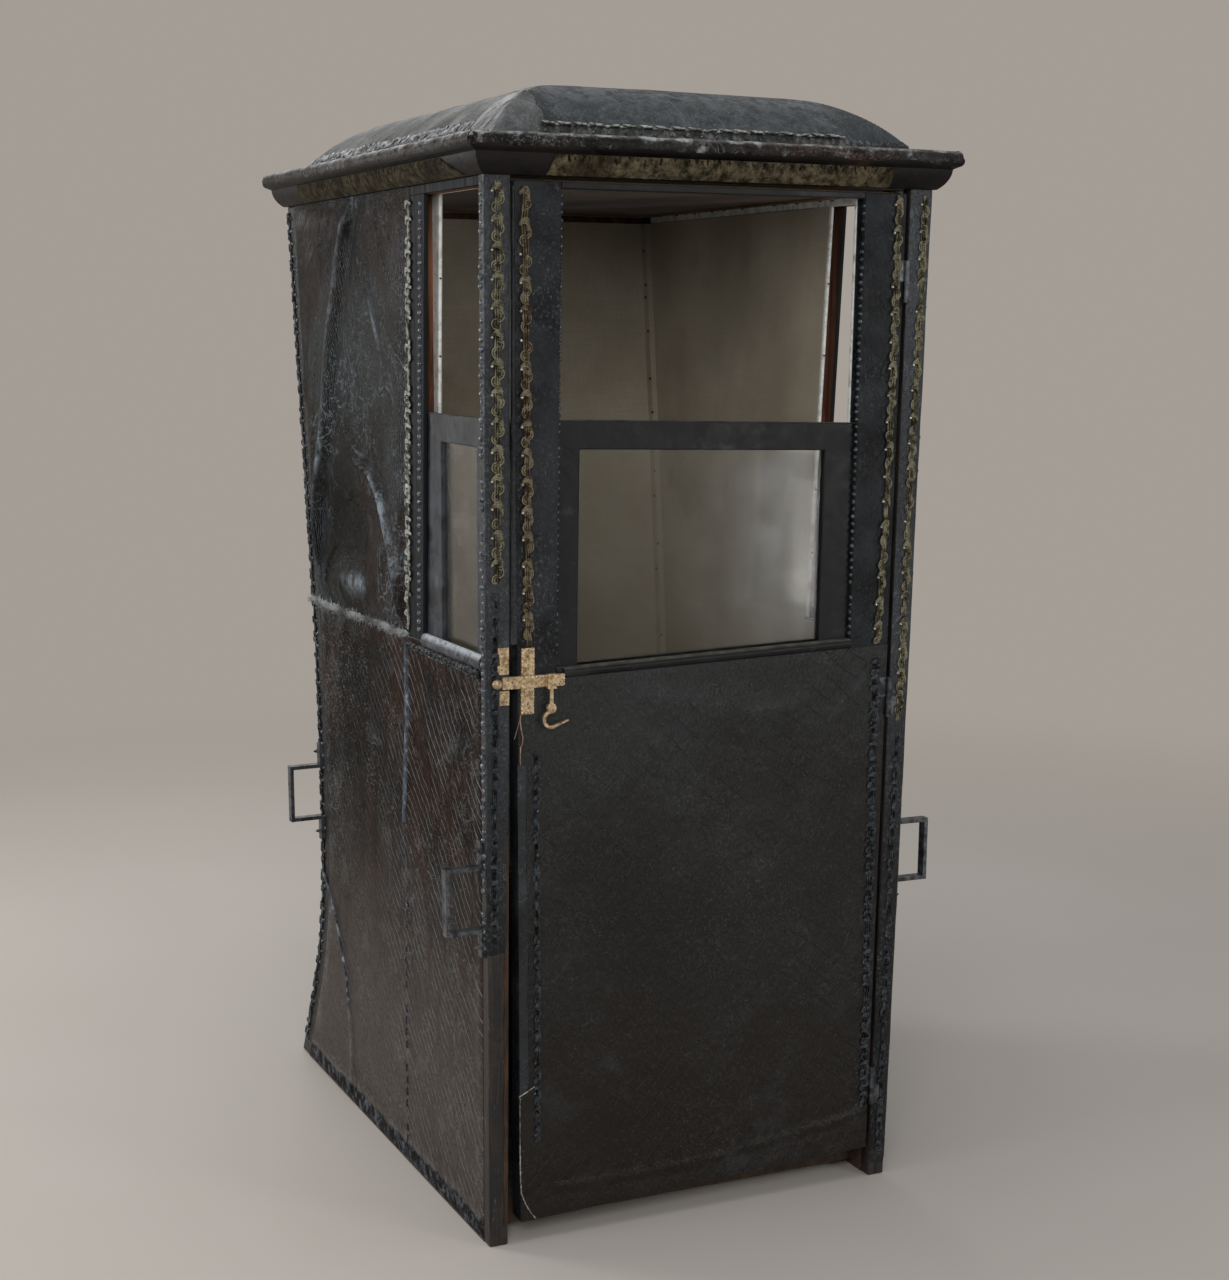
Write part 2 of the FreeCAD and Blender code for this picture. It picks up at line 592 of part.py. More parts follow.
keep(leant(rail))

nose = plate("sill nose", "YZ_Plane", [[
    ("DoorSillTall / 2 - DoorSillNose", "0"), ("DoorThick", "0"), ("DoorThick", "DoorSillTall"),
    ("DoorSillTall / 2 - DoorSillNose", "DoorSillTall", "(DoorSillTall + Hairline / 2) / 2", -1)]],
    "2 * %s - SashPlay" % half, symmetric=True)
nose.Placement = FreeCAD.Placement(V(0, 0, 0), FreeCAD.Rotation(V(0, -1, 0), 1))
bind(nose, Placement__Base__z="(DoorSillLeft + DoorSillRight) / 2 + Hairline",
     Placement__Rotation__Angle="atan((DoorSillRight - DoorSillLeft) / (2 * %s))" % half)
latch_seat = box("latch seat", ("-(%s + SashPlay)" % half, "SashPlay - LatchBarEnd"), ("-LatchBarOut", "0"),
                 ("LatchHeight - LatchPlateTall / 2", "LatchHeight + LatchPlateTall / 2"))
with_channel("door_sill", cut("sill beside the latch", nose, latch_seat))

sash_half = "(%s + DoorSashHold)" % half
light_left = "(-%s + DoorStileLeft)" % sash_half
light_right = "(%s - DoorStileRight)" % sash_half
light = [(light_left, sash_low + " + SashFoot"), (light_right, sash_low + " + SashFoot"),
         (light_right, sash_edge(light_right) + " - SashRail"), (light_left, sash_edge(light_left) + " - SashRail")]
frame = [("-" + sash_half, sash_low), (sash_half, sash_low), (sash_half, sash_edge(sash_half)),
         ("-" + sash_half, sash_edge("-" + sash_half))]
for label, outlines, thick in (("door_sash", [frame, light], "SashThick"), ("door_glass", [light], "GlassThick")):
    piece = leant(plate(label, "XZ_Plane", outlines, thick, reverse=True))
    inset = "(DoorSashInset + SashPlay + (SashThick - %s) / 2)" % thick
    lean = "atan(FrontLean / WallHeight)"
    bind(piece, Placement__Base__y="%s + %s * cos(%s)" % (front()("0"), inset, lean),
         Placement__Base__z="%s * sin(%s)" % (inset, lean))
    keep(piece)


# ---------------------------------------------------------------- hinges
def knuckle(label, height, leaf_sign):
    """Half a butt hinge at the origin: a barrel up the Z axis and its leaf against the face behind it."""
    barrel = doc.addObject("Part::Cylinder", "Barrel")
    bind(barrel, Radius="KnuckleRadius", Height="KnuckleLong - HingeGap", Placement__Base__z=height)
    reach = ("LeafEdge", "LeafWide") if leaf_sign > 0 else ("-LeafWide", "-LeafEdge")
    rear_face = "KnuckleRadius + HingeGap"
    leaf = box(label + " leaf", reach, (rear_face + " - LeafThick", rear_face),
               (height, height + " + KnuckleLong - HingeGap"))
    return fuse(label, barrel, leaf)


DOOR_HINGES = ("HingeLow", "HingeMiddle", "HingeHigh")
for name, leaf_sign, shift in (("door_hinges_fixed", 1, "-KnuckleLong"), ("door_hinges_moving", -1, "0")):
    halves = [knuckle(name + " " + height, "%s + (%s)" % (height, shift), leaf_sign) for height in DOOR_HINGES]
    row = fuse(name + " row", *halves)
    row.Placement = FreeCAD.Placement(V(0, 0, 0), FreeCAD.Rotation(V(0, 1, 0), 1))
    bind(row, Placement__Rotation__Angle="atan((%s - %s) / WallHeight)" % (DOOR_HALF_TOP, DOOR_RIGHT_FOOT),
         Placement__Base__x="%s + DoorGap / 2" % DOOR_RIGHT_FOOT, Placement__Base__y="-KnuckleRadius - HingeGap")
    keep(leant(fuse(name, row)))

# ---------------------------------------------------------------- the latch
HOOK_X = "-HookAt"
BUTTON_Z = "(LatchHeight - HookDrop)"
CURL_Z = "(%s - HookCurl - HookButtonRadius + HookIron)" % BUTTON_Z


def latch_block(label, middle, wide, outs, low, high):
    """A flat piece of the latch; outs are its rear and front faces before the door."""
    return box(label, ("-(%s) - %s / 2" % (middle, wide), "-(%s) + %s / 2" % (middle, wide)),
               ("-(%s)" % outs[1], "-(%s)" % outs[0]), (low, high))


def centred(tall):
    return "LatchHeight - %s / 2" % tall, "LatchHeight + %s / 2" % tall


def turned(kind, label, rotation, x, y, z, **sizes):
    """A cylinder, ball, cone or torus with its middle or foot at a place."""
    piece = doc.addObject(kind, label)
    piece.Placement = FreeCAD.Placement(V(0, 0, 0), rotation)
    bind(piece, Placement__Base__x=x, Placement__Base__y=y, Placement__Base__z=z, **sizes)
    return piece


FORWARD = FreeCAD.Rotation(V(1, 0, 0), 90)
plate_cross = latch_block("cross plate", "LatchPlateAt", "LatchPlateWide", ("0", "LatchPlateThick"),
                          *centred("LatchPlateTall"))
bar = latch_block("latch bar", "(LatchBarStart + LatchBarEnd) / 2", "(LatchBarStart - LatchBarEnd)",
                  ("LatchPlateThick", "LatchBarOut"), *centred("LatchBarTall"))
keep(leant(fuse("latch_bar", plate_cross, bar)))

boss = latch_block("latch boss", "HookAt", "HookBossWide", ("LatchBarOut", "HookBossOut"),
                   *centred("HookBossTall"))
lever = latch_block("latch lever", "HookAt", "HookLeverWide",
                    ("HookOut - HookLeverThick / 2", "HookOut + HookLeverThick / 2"),
                    BUTTON_Z, "LatchHeight")
button = turned("Part::Cylinder", "Button", FORWARD, HOOK_X, "-HookOut + HookButtonThick / 2", BUTTON_Z,
                Radius="HookButtonRadius", Height="HookButtonThick")
outer = "(HookCurl + HookIron)"
inner = "(HookCurl - HookIron)"


def on_curl(radius):
    """Where the hook's tip leaves the curl, on its outer or inner edge."""
    return "%s * sin(HookTipTurn)" % radius, "-(%s * cos(HookTipTurn))" % radius


def tip_end(radius, edge):
    """The end of the tip, which rises to the right; edge shifts it to one side of the tip's line."""
    x, z = on_curl(radius)
    return ("%s + HookTip * cos(HookTipRise) + (%s) * sin(HookTipRise)" % (x, edge),
            "%s + HookTip * sin(HookTipRise) - (%s) * cos(HookTipRise)" % (z, edge))


curl = plate("hook curl", "XZ_Plane", [[
    ("0", outer, outer, -1), ("-" + outer, "0", outer, -1), on_curl(outer),
    tip_end("HookCurl", "HookTipEnd"), tip_end("HookCurl", "-HookTipEnd"),
    on_curl(inner) + (inner, 1), ("-" + inner, "0", inner, 1), ("0", inner)]], "2 * HookIron", symmetric=True)
bind(curl, Placement__Base__x=HOOK_X, Placement__Base__y="-HookOut", Placement__Base__z=CURL_Z)
keep(leant(fuse("latch_hook", boss, lever, button, curl)))

upper = latch_block("keeper upper plate", "KeeperUpperAt", "KeeperUpperWide", ("0", "KeeperThick"),
                    "LatchHeight + KeeperGap", "LatchHeight + KeeperGap + KeeperUpperTall")
lower = latch_block("keeper lower plate", "KeeperLowerAt", "KeeperLowerWide", ("0", "KeeperThick"),
                    "LatchHeight - KeeperGap - KeeperLowerTall", "LatchHeight - KeeperGap")
ball = turned("Part::Sphere", "Ball", FreeCAD.Rotation(), "-BallAt", "-StemLong", "LatchHeight",
              Radius="BallRadius")
stem = turned("Part::Cylinder", "Stem", FORWARD, "-BallAt", "0", "LatchHeight",
              Radius="StemRadius", Height="StemLong")
keep(leant(fuse("latch_keeper", upper, lower, ball, stem)))


# ---------------------------------------------------------------- the roof: cornice, dome and ceiling
def hipped(label, rows):
    """A solid whose section from the front and from the side is one profile, so its corners are mitred.
    Each row is a place (beyond the wall face, height), with the radius and side of an arc that follows."""
    views = []
    for view, plane, half_size in (("front", "XZ_Plane", "WidthTop / 2"), ("side", "YZ_Plane", "DepthTop / 2")):
        right = [("%s + (%s)" % (half_size, row[0]), row[1]) + row[2:] for row in rows]
        for number, row in enumerate(right):
            if len(row) > 2 and callable(row[2]):
                right[number] = (row[0], row[1], row[2](half_size), row[3])
        left = []
        for number in range(len(rows) - 1, -1, -1):
            arc = right[number - 1][2:] if number > 0 else ()
            left.append(("-(%s)" % right[number][0], right[number][1]) + arc)
        body = plate("%s %s view" % (label, view), plane, [right + left], "2 * DepthTop", symmetric=True)
        bind(body, Placement__Base__y="-%s" % MID_SHIFT)
        views.append(body)
    return common(label, *views)


def crown_radius(inset):
    """The radius of an arc of CrownRise over the width that the rounded edges leave."""
    return lambda half_size: "((%s - %s)^2 + CrownRise^2) / (2 * CrownRise)" % (half_size, inset)


WALL = "WallHeight"
BEAD_EDGE = "CorniceOut - BeadRadius + sqrt(BeadRadius^2 - BeadTall^2 / 4)"
blank = hipped("cornice outline", [
    ("HollowStart", WALL, "HollowRadius", -1), ("HollowOut", WALL + " + HollowRise"),
    (BEAD_EDGE, WALL + " + BeadLow", "BeadRadius", -1), (BEAD_EDGE, WALL + " + BeadLow + BeadTall"),
    ("-DomeInset", WALL + " + CorniceHeight")])
opening = box("cornice opening", ("-(WidthTop / 2 - CorniceIn)", "WidthTop / 2 - CorniceIn"),
              ("-(DepthTop / 2 - CorniceIn) - %s" % MID_SHIFT, "DepthTop / 2 - CorniceIn - %s" % MID_SHIFT),
              (WALL, WALL + " + CorniceHeight"))
cornice = cut("cornice", blank, opening)
keep(cornice)

DOME_FOOT = WALL + " + CorniceHeight"
eave = "DomeInset + EaveRun"
outer = hipped("dome outside", [
    ("-DomeInset", DOME_FOOT, "EaveRadius", -1), ("-(%s)" % eave, DOME_FOOT + " + EaveRise",
                                                 crown_radius("(%s)" % eave), -1)])
eave = "DomeInset + EaveRun + DomeThick / 3"
inner = hipped("dome inside", [
    ("-DomeInset - DomeThick", DOME_FOOT, "EaveRadius", -1), ("-(%s)" % eave, DOME_FOOT + " + EaveRise - DomeThick",
                                                             crown_radius("(%s)" % eave), -1)])
keep(cut("roof_dome", outer, inner))
keep(box("ceiling_board", ("-(WidthTop / 2 - CorniceIn)", "WidthTop / 2 - CorniceIn"),
         ("-(DepthTop / 2 - CorniceIn) - %s" % MID_SHIFT, "DepthTop / 2 - CorniceIn - %s" % MID_SHIFT),
         (WALL, WALL + " + CeilingThick")))

# the roof's two hinges, on the wall's top rail and under the cornice at the back
LID_AXIS_Y = "(%s + KnuckleRadius + LidHingeGap)" % REAR_TOP
LID_AXIS_Z = "(WallHeight - KnuckleRadius - LidHingeGap)"
fixed = []
moving = []
for sign in (-1, 1):
    for leaves, start in ((fixed, "-KnuckleLong"), (moving, "HingeGap")):
        barrel = doc.addObject("Part::Cylinder", "Barrel")
        barrel.Placement = FreeCAD.Placement(V(0, 0, 0), FreeCAD.Rotation(V(0, 1, 0), 90))
        x = "%d * LidHingeAt + %s" % (sign, start)
        bind(barrel, Radius="KnuckleRadius", Height="KnuckleLong", Placement__Base__x=x,
             Placement__Base__y=LID_AXIS_Y, Placement__Base__z=LID_AXIS_Z)
        leaves.append(barrel)
        ends = (at(x), at("%s + KnuckleLong" % x))
        if leaves is fixed:
            leaves.append(wedge("lid leaf", "WallHeight - LidLeafTall", LID_AXIS_Z, *ends,
                                rear(), rear("-LidLeafThick")))
        else:
            leaves.append(wedge("lid strap", LID_AXIS_Z, "WallHeight + LidStrapUp", *ends,
                                at(LID_AXIS_Y + " - LidStrapIn"), at(LID_AXIS_Y + " + KnuckleRadius")))
keep(fuse("roof_hinges_fixed", *fixed))
keep(cut("roof_hinges_moving", fuse("moving leaves", *moving), cornice))

# ---------------------------------------------------------------- check and write
doc.recompute()
faults = [thing.Name + " " + thing.Label for thing in doc.Objects if set(thing.State) & {"Invalid", "Error"}]
for node in NODES:
    if node.Shape.isNull() or not node.Shape.isValid() or not node.Shape.Solids:
        faults.append(node.Label)
if faults:
    raise RuntimeError("pieces that failed: %s" % ", ".join(faults))
os.makedirs("parts", exist_ok=True)
for node in NODES:
    node.Shape.exportStep("parts/%s.step" % node.Label)
print("pieces written:", len(NODES))
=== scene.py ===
from math import atan2, cos, exp, hypot, pi, radians, sin, sqrt
from random import Random
import bmesh
import bpy
import numpy as np
from mathutils import Matrix, Vector, noise
from mathutils.bvhtree import BVHTree


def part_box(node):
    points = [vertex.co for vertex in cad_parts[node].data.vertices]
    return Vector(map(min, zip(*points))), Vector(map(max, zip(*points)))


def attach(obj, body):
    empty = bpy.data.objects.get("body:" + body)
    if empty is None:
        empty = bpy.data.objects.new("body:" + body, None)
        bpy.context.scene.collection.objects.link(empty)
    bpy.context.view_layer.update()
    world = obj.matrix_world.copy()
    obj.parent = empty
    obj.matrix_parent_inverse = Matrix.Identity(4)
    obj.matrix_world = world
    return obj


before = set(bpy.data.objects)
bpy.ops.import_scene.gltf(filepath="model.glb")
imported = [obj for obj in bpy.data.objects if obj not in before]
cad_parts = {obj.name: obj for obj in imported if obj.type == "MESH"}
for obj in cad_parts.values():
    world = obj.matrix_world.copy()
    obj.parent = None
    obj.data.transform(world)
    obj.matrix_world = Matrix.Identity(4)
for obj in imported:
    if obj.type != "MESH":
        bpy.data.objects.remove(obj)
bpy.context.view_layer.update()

HANDS = (("left", -1), ("right", 1))
SIGN = {"f": -1, "b": 1, "l": -1, "r": 1}  # the roof's front, back, left and right edges


# ---- numbers and noise
def vec(x, y, z):
    return Vector((x, y, z))


def wander(x, y, z):
    """Smooth noise between about -1 and 1."""
    return noise.noise(Vector((x, y, z)))


def rough(x, y, z, scale=1.0, octaves=3):
    return noise.fractal(Vector((x, y, z)) * scale, 0.6, 2.0, octaves)


def lerp(a, b, t):
    return a + (b - a) * t


def clip(value, low=-1, high=1):
    return min(max(value, low), high)


def bell(value, middle, width):
    return exp(-((value - middle) / width) ** 2)


def smooth(value, low, high):
    t = min(max((value - low) / (high - low), 0.0), 1.0)
    return t * t * (3 - 2 * t)


def along(rows, value):
    """A value read off a table of (place, value) rows, with straight lines between them."""
    for (a, fa), (b, fb) in zip(rows, rows[1:]):
        if (a <= value <= b) or (a >= value >= b):
            return fa + (fb - fa) * (value - a) / (b - a)
    return rows[0][1] if abs(value - rows[0][0]) < abs(value - rows[-1][0]) else rows[-1][1]


def beside(a, b, a1, b1, a2, b2):
    """How far along the line from (a1, b1) to (a2, b2) a place (a, b) is, 0 to 1, and how far off the line."""
    da, db = a2 - a1, b2 - b1
    run = hypot(da, db)
    return ((a - a1) * da + (b - b1) * db) / run ** 2, ((a - a1) * db - (b - b1) * da) / run


# ---- camera, light and floor
LENS_MM = 59.44
EYE = vec(-1.3769, -3.0910, 1.3063)
YAW, PITCH, ROLL = 0.4354, 0.1482, 0.0045
LAMPS = (  # name, place, aim, width, height, power
    ("key", (-1.7, -3.6, 2.3), (0, 0, 1.0), 1.6, 1.6, 48),
    ("front_right", (2.3, -4.0, 1.6), (0, -0.4, 0.9), 0.9, 0.9, 22),
    ("pane", (2.30, -4.10, 0.40), (0, -0.44, 0.9), 0.30, 0.60, 8),
    ("rear_left", (-2.9, 2.3, 1.5), (-0.3, 0.1, 0.9), 1.0, 1.0, 40),
    ("left", (-3.6, -0.4, 1.9), (0, 0, 1.0), 1.3, 1.3, 20),
    ("top", (-0.6, -0.3, 4.4), (0, 0, 1.0), 2.4, 2.4, 34),
    ("back", (0.3, 3.4, 2.6), (0, 0, 0.9), 1.8, 1.8, 20),
)


def tone(r, g, b):
    """A colour as it looks on a screen, 0 to 255, made linear."""
    return tuple((c / 255 + 0.055) ** 2.4 / 1.055 ** 2.4 for c in (r, g, b)) + (1.0,)


def added(name, data):
    """A new object in the scene."""
    made = bpy.data.objects.new(name, data)
    bpy.context.scene.collection.objects.link(made)
    return made


def make_camera():
    forward = vec(sin(YAW) * cos(PITCH), cos(YAW) * cos(PITCH), -sin(PITCH))
    right = vec(cos(YAW), -sin(YAW), 0)
    up = right.cross(forward)
    right, up = cos(ROLL) * right + sin(ROLL) * up, cos(ROLL) * up - sin(ROLL) * right
    data = bpy.data.cameras.new("camera")
    data.lens, data.sensor_width, data.sensor_fit = LENS_MM, 36, "AUTO"
    camera = added("camera", data)
    camera.matrix_world = Matrix.Translation(EYE) @ Matrix((right, up, -forward)).transposed().to_4x4()
    bpy.context.scene.camera = camera


def seen_mask(tree):
    """1 for rays from the camera and those that mirrors and glass show."""
    path = tree.nodes.new("ShaderNodeLightPath")
    total = path.outputs["Is Camera Ray"]
    for other in ("Is Glossy Ray", "Is Transmission Ray"):
        add = tree.nodes.new("ShaderNodeMath")
        add.operation = "MAXIMUM"
        tree.links.new(total, add.inputs[0])
        tree.links.new(path.outputs[other], add.inputs[1])
        total = add.outputs[0]
    return total


def make_studio():
    world = bpy.data.worlds.new("world")
    bpy.context.scene.world = world
    world.use_nodes = True
    tree = world.node_tree
    backdrop = tree.nodes["Background"]
    backdrop.inputs[0].default_value = tone(164, 157, 149)
    backdrop.inputs[1].default_value = 1.0
    glow = tree.nodes.new("ShaderNodeBackground")
    glow.inputs[0].default_value = (0.93, 0.96, 1.0, 1)
    glow.inputs[1].default_value = 0.24
    mix = tree.nodes.new("ShaderNodeMixShader")
    tree.links.new(seen_mask(tree), mix.inputs[0])
    tree.links.new(glow.outputs[0], mix.inputs[1])
    tree.links.new(backdrop.outputs[0], mix.inputs[2])
    tree.links.new(mix.outputs[0], tree.nodes["World Output"].inputs[0])
    for name, place, aim, width, height, power in LAMPS:
        light = bpy.data.lights.new(name, "AREA")
        light.energy, light.shape, light.size, light.size_y = power, "RECTANGLE", width, height
        lamp = added(name, light)
        lamp.location = place
        lamp.rotation_euler = (Vector(aim) - Vector(place)).to_track_quat("-Z", "Y").to_euler()
    mesh = bpy.data.meshes.new("floor")
    mesh.from_pydata([(-15, -15, 0), (15, -15, 0), (15, 15, 0), (-15, 15, 0)], [], [(0, 1, 2, 3)])
    added("floor", mesh)
    look = Look("floor", roughness=0.7, Specular_IOR_Level=0.15)
    x, y, z = look.axes()
    reach = look.math("SQRT", look.plus(look.times(x, x), look.times(y, y)))
    clear = look.node("BsdfTransparent").outputs[0]
    faded = look.node("MixShader", [(0, look.span(reach, 1.3, 4.2)), (1, look.shader.outputs[0]), (2, clear)])
    look.feed(look.tree.nodes["Material Output"].inputs[0], faded.outputs[0])
    look.base = look.mix(look.noise(1.5, 3), (202, 194, 185), (209, 202, 194))
    mesh.materials.append(look.done())


# ---- materials
class Look:
    """A material, and short ways of adding nodes to it. Textures use the object's own coordinates, in metres."""

    def __init__(self, name, roughness=0.5, metallic=0.0, **constants):
        self.material = bpy.data.materials.new(name)
        self.material.use_nodes = True
        self.tree = self.material.node_tree
        self.shader = self.tree.nodes["Principled BSDF"]
        self.shader.inputs["Roughness"].default_value = roughness
        self.shader.inputs["Metallic"].default_value = metallic
        for key, value in constants.items():
            self.shader.inputs[key.replace("_", " ")].default_value = value
        self.place = self.node("TexCoord").outputs["Object"]
        self.base = None

    def node(self, kind, feeds=(), **settings):
        made = self.tree.nodes.new("ShaderNode" + kind)
        for key, value in settings.items():
            setattr(made, key, value)
        for key, source in feeds:
            self.feed(made.inputs[key], source)
        return made

    def feed(self, socket, source):
        if isinstance(source, bpy.types.NodeSocket):
            self.tree.links.new(source, socket)
        elif source is not None:
            socket.default_value = source

    def turned(self, stretch, turn=(0, 0, 0)):
        return self.node("Mapping", [("Vector", self.place), ("Scale", stretch), ("Rotation", turn)]).outputs[0]

    def noise(self, scale, detail=4.0, rough=0.55, warp=0.0, at=None):
        feeds = [("Vector", at or self.place), ("Scale", scale), ("Detail", detail), ("Roughness", rough),
                 ("Distortion", warp)]
        return self.node("TexNoise", feeds).outputs[0]

    def streaks(self, stretch, detail, rough, warp, turn=(0, 0, 0)):
        """Noise drawn out along the axes that have small numbers."""
        return self.noise(1, detail, rough, warp, self.turned(stretch, turn))

    def spots(self, kind, low, high, to_low=0.0, to_high=1.0):
        """Patches of a noise; kind holds its scale, detail, roughness and warp."""
        return self.span(self.noise(*kind), low, high, to_low, to_high)

    def cells(self, scale):
        return self.node("TexVoronoi", [("Vector", self.place), ("Scale", scale)]).outputs["Distance"]

    def wave(self, scale, at, warp, detail, direction="X"):
        feeds = [("Vector", at or self.place), ("Scale", scale), ("Distortion", warp), ("Detail", detail),
                 ("Detail Scale", 1.5)]
        return self.node("TexWave", feeds, bands_direction=direction).outputs["Fac"]

    def math(self, kind, a, b=0.0):
        return self.node("Math", [(0, a), (1, b)], operation=kind).outputs[0]

    def times(self, a, b):
        return self.math("MULTIPLY", a, b)

    def plus(self, a, b):
        return self.math("ADD", a, b)

    def minus(self, a, b):
        return self.math("SUBTRACT", a, b)

    def absolute(self, a):
        return self.math("ABSOLUTE", a)

    def span(self, value, low, high, to_low=0.0, to_high=1.0):
        """Moves smoothly from to_low to to_high as the value goes from low to high."""
        feeds = [("Value", value), ("From Min", low), ("From Max", high), ("To Min", to_low), ("To Max", to_high)]
        return self.node("MapRange", feeds, interpolation_type="SMOOTHSTEP").outputs[0]

    def mix(self, factor, a, b):
        """Three numbers, 0 to 255, are a colour as it looks on a screen."""
        a, b = (tone(*c) if isinstance(c, tuple) and len(c) == 3 else c for c in (a, b))
        return self.node("Mix", [(0, factor), (6, a), (7, b)], data_type="RGBA").outputs[2]

    def axes(self):
        return self.node("SeparateXYZ", [(0, self.place)]).outputs

    def facing(self):
        """The surface's own direction, which doesn't turn with the camera."""
        return self.node("SeparateXYZ", [(0, self.node("NewGeometry").outputs["Normal"])]).outputs

    def bump(self, height, distance, over=None):
        return self.node("Bump", [("Height", height), ("Distance", distance), ("Normal", over)]).outputs[0]

    def over(self, mask, tint, much=None):
        """Lays a tint over the base colour, through a mask."""
        self.base = self.mix(mask if much is None else self.times(mask, much), self.base, tint)

    def done(self, normal=None, roughness=None):
        for key, source in (("Base Color", self.base), ("Normal", normal), ("Roughness", roughness)):
            self.feed(self.shader.inputs[key], source)
        return self.material


def add_dust(look, dust, amount):
    """Dust on faces that look up, thicker where a noise says."""
    up = look.span(look.facing()[2], 0.45, 0.95)
    look.over(look.times(up, look.spots((38, 5), 0.35, 0.7, 0.35, 1.0)), dust, amount)


def creases(look, direction, pitch, width, stray, gate):
    """Thin raised lines side by side, across a direction (x, y, z); gate says how much of them shows."""
    reach = look.node("VectorMath", [(0, look.place), (1, direction)], operation="DOT_PRODUCT").outputs["Value"]
    bent = look.times(look.minus(look.noise(3.4, 4, 0.6), 0.5), stray)
    turn = look.math("DIVIDE", look.plus(reach, bent), pitch)
    off = look.absolute(look.minus(look.math("FRACT", turn), 0.5))
    line = look.span(off, width / pitch, 0.15 * width / pitch)
    broken = look.span(look.streaks((9, 26, 11), 3, 0.6, 0, (0.4, 0, 0)), *gate)
    front = look.span(look.axes()[1], 0.06, -0.10, 0.2, 1.0)
    return look.times(look.times(line, broken), front)


def veins(look, scale, sharp, warp=1.2):
    """Thin wandering lines where a noise crosses its middle."""
    off = look.absolute(look.minus(look.noise(scale, 4, 0.6, warp), 0.5))
    return look.span(off, sharp, 0.1 * sharp)


def leather(name, dark, light, worn, rough=(0.36, 0.58), foot=None, crackle=0.5, scuff=0.5, lines=(), dust=0.35,
            hem=0.0, ruddy=0.0, grain=0.0020, shine=0.26, folds=0.35, whorls=0.0, painted_glint=0.0):
    """Old leather: clouded colour, grain, wandering cracks, scuffs, specks, and rows of long creases."""
    look = Look(name, Specular_IOR_Level=shine)
    height = look.axes()[2]
    cloud = look.noise(2.6, 5)
    blotch = look.noise(13, 6, 0.62)
    look.base = look.mix(look.span(cloud, 0.34, 0.68), dark, light)
    if ruddy:
        look.over(look.spots((4.3, 4, 0.6), 0.46, 0.66, 0, ruddy), (56, 34, 24))
    if foot:
        low_colour, low, high = foot
        rise = look.plus(height, look.times(look.noise(4, 4), 0.25))
        look.over(look.span(rise, high + 0.12, low + 0.12), low_colour)
    look.over(look.span(blotch, 0.54, 0.82, 0, 0.30 * scuff), worn)
    # Painted shade and highlight: where wear_and_painted_light is below zero the hollows get painted shade (8, 7, 7);
    # above zero a painted highlight in the worn colour, broken into patches, also stands for rubbed wear.
    wear_and_painted_light = look.node("Attribute", attribute_name="wear_and_painted_light").outputs["Fac"]
    look.over(look.span(wear_and_painted_light, -0.05, -0.9, 0, folds), (8, 7, 7))
    patchy = look.spots((48, 6, 0.74, 0.6), 0.40, 0.60, 0.12, 1)
    look.over(look.span(wear_and_painted_light, 0.12, 0.95, 0, folds), worn, patchy)
    if whorls:
        ring = look.span(look.wave(70, None, 7.0, 2.0, "Y"), 0.80, 0.97)
        look.over(look.times(ring, look.spots((5, 3, 0.5), 0.48, 0.60)), worn, whorls)
    normal = look.bump(look.noise(22, 5, 0.6), 0.0030)
    normal = look.bump(look.streaks((190, 190, 90), 4, 0.55, 0.5, (0.5, 0.6, 0)), grain, normal)
    for direction, pitch, width, stray, strength, gate in lines:
        ridge = creases(look, direction, pitch, width, stray, gate)
        look.over(ridge, worn, strength)
        normal = look.bump(ridge, 0.0016, normal)
    crack = look.math("MAXIMUM", veins(look, 9, 0.012), look.times(veins(look, 23, 0.016, 0.7), 0.7))
    crack = look.times(crack, look.spots((5.5, 4), 0.46, 0.64))
    look.over(crack, worn, crackle * 0.55)
    scratch = look.span(look.streaks((34, 34, 260), 6, 0.7, 0.6, (0.55, 0.9, 0.3)), 0.66, 0.72)
    speck = look.times(look.span(look.cells(210), 0.16, 0.08), look.spots((9, 5, 0.7), 0.5, 0.6))
    look.over(look.math("MAXIMUM", look.times(scratch, 0.5), speck), worn, scuff)
    # Painted glints: light flecks in the worn colour on the grain stand for highlights, fewer in painted shade; dark
    # pits lie between them.
    if painted_glint:
        painted_glint_mask = look.span(look.streaks((260, 110, 260), 5, 0.7, 0.6, (0.3, 0.2, 0)), 0.53, 0.63)
        painted_glint_mask = look.times(painted_glint_mask, look.spots((7, 6, 0.72, 0.8), 0.42, 0.66, 0.12, 1))
        painted_glint_mask = look.times(painted_glint_mask, look.span(wear_and_painted_light, -0.65, 0.05, 0.5, 1))
        look.over(painted_glint_mask, worn, painted_glint)
        pit = look.span(look.streaks((200, 90, 200), 5, 0.7, 0.6, (0.1, 0.4, 0)), 0.50, 0.40)
        look.over(pit, (10, 9, 9), 0.7 * painted_glint)
    if hem:
        edge = look.plus(height, look.times(look.noise(22, 5, 0.65), 0.03))
        torn = look.mix(look.spots((60, 6, 0.72), 0.46, 0.64), (26, 24, 25), (96, 99, 106))
        look.over(look.span(edge, hem + 0.018, hem + 0.010), torn)
    normal = look.bump(look.cells(430), 0.0003, normal)
    normal = look.bump(crack, 0.0008 * crackle, normal)
    add_dust(look, (150, 150, 146), dust)
    return look.done(normal, look.span(blotch, 0.3, 0.75, *rough))


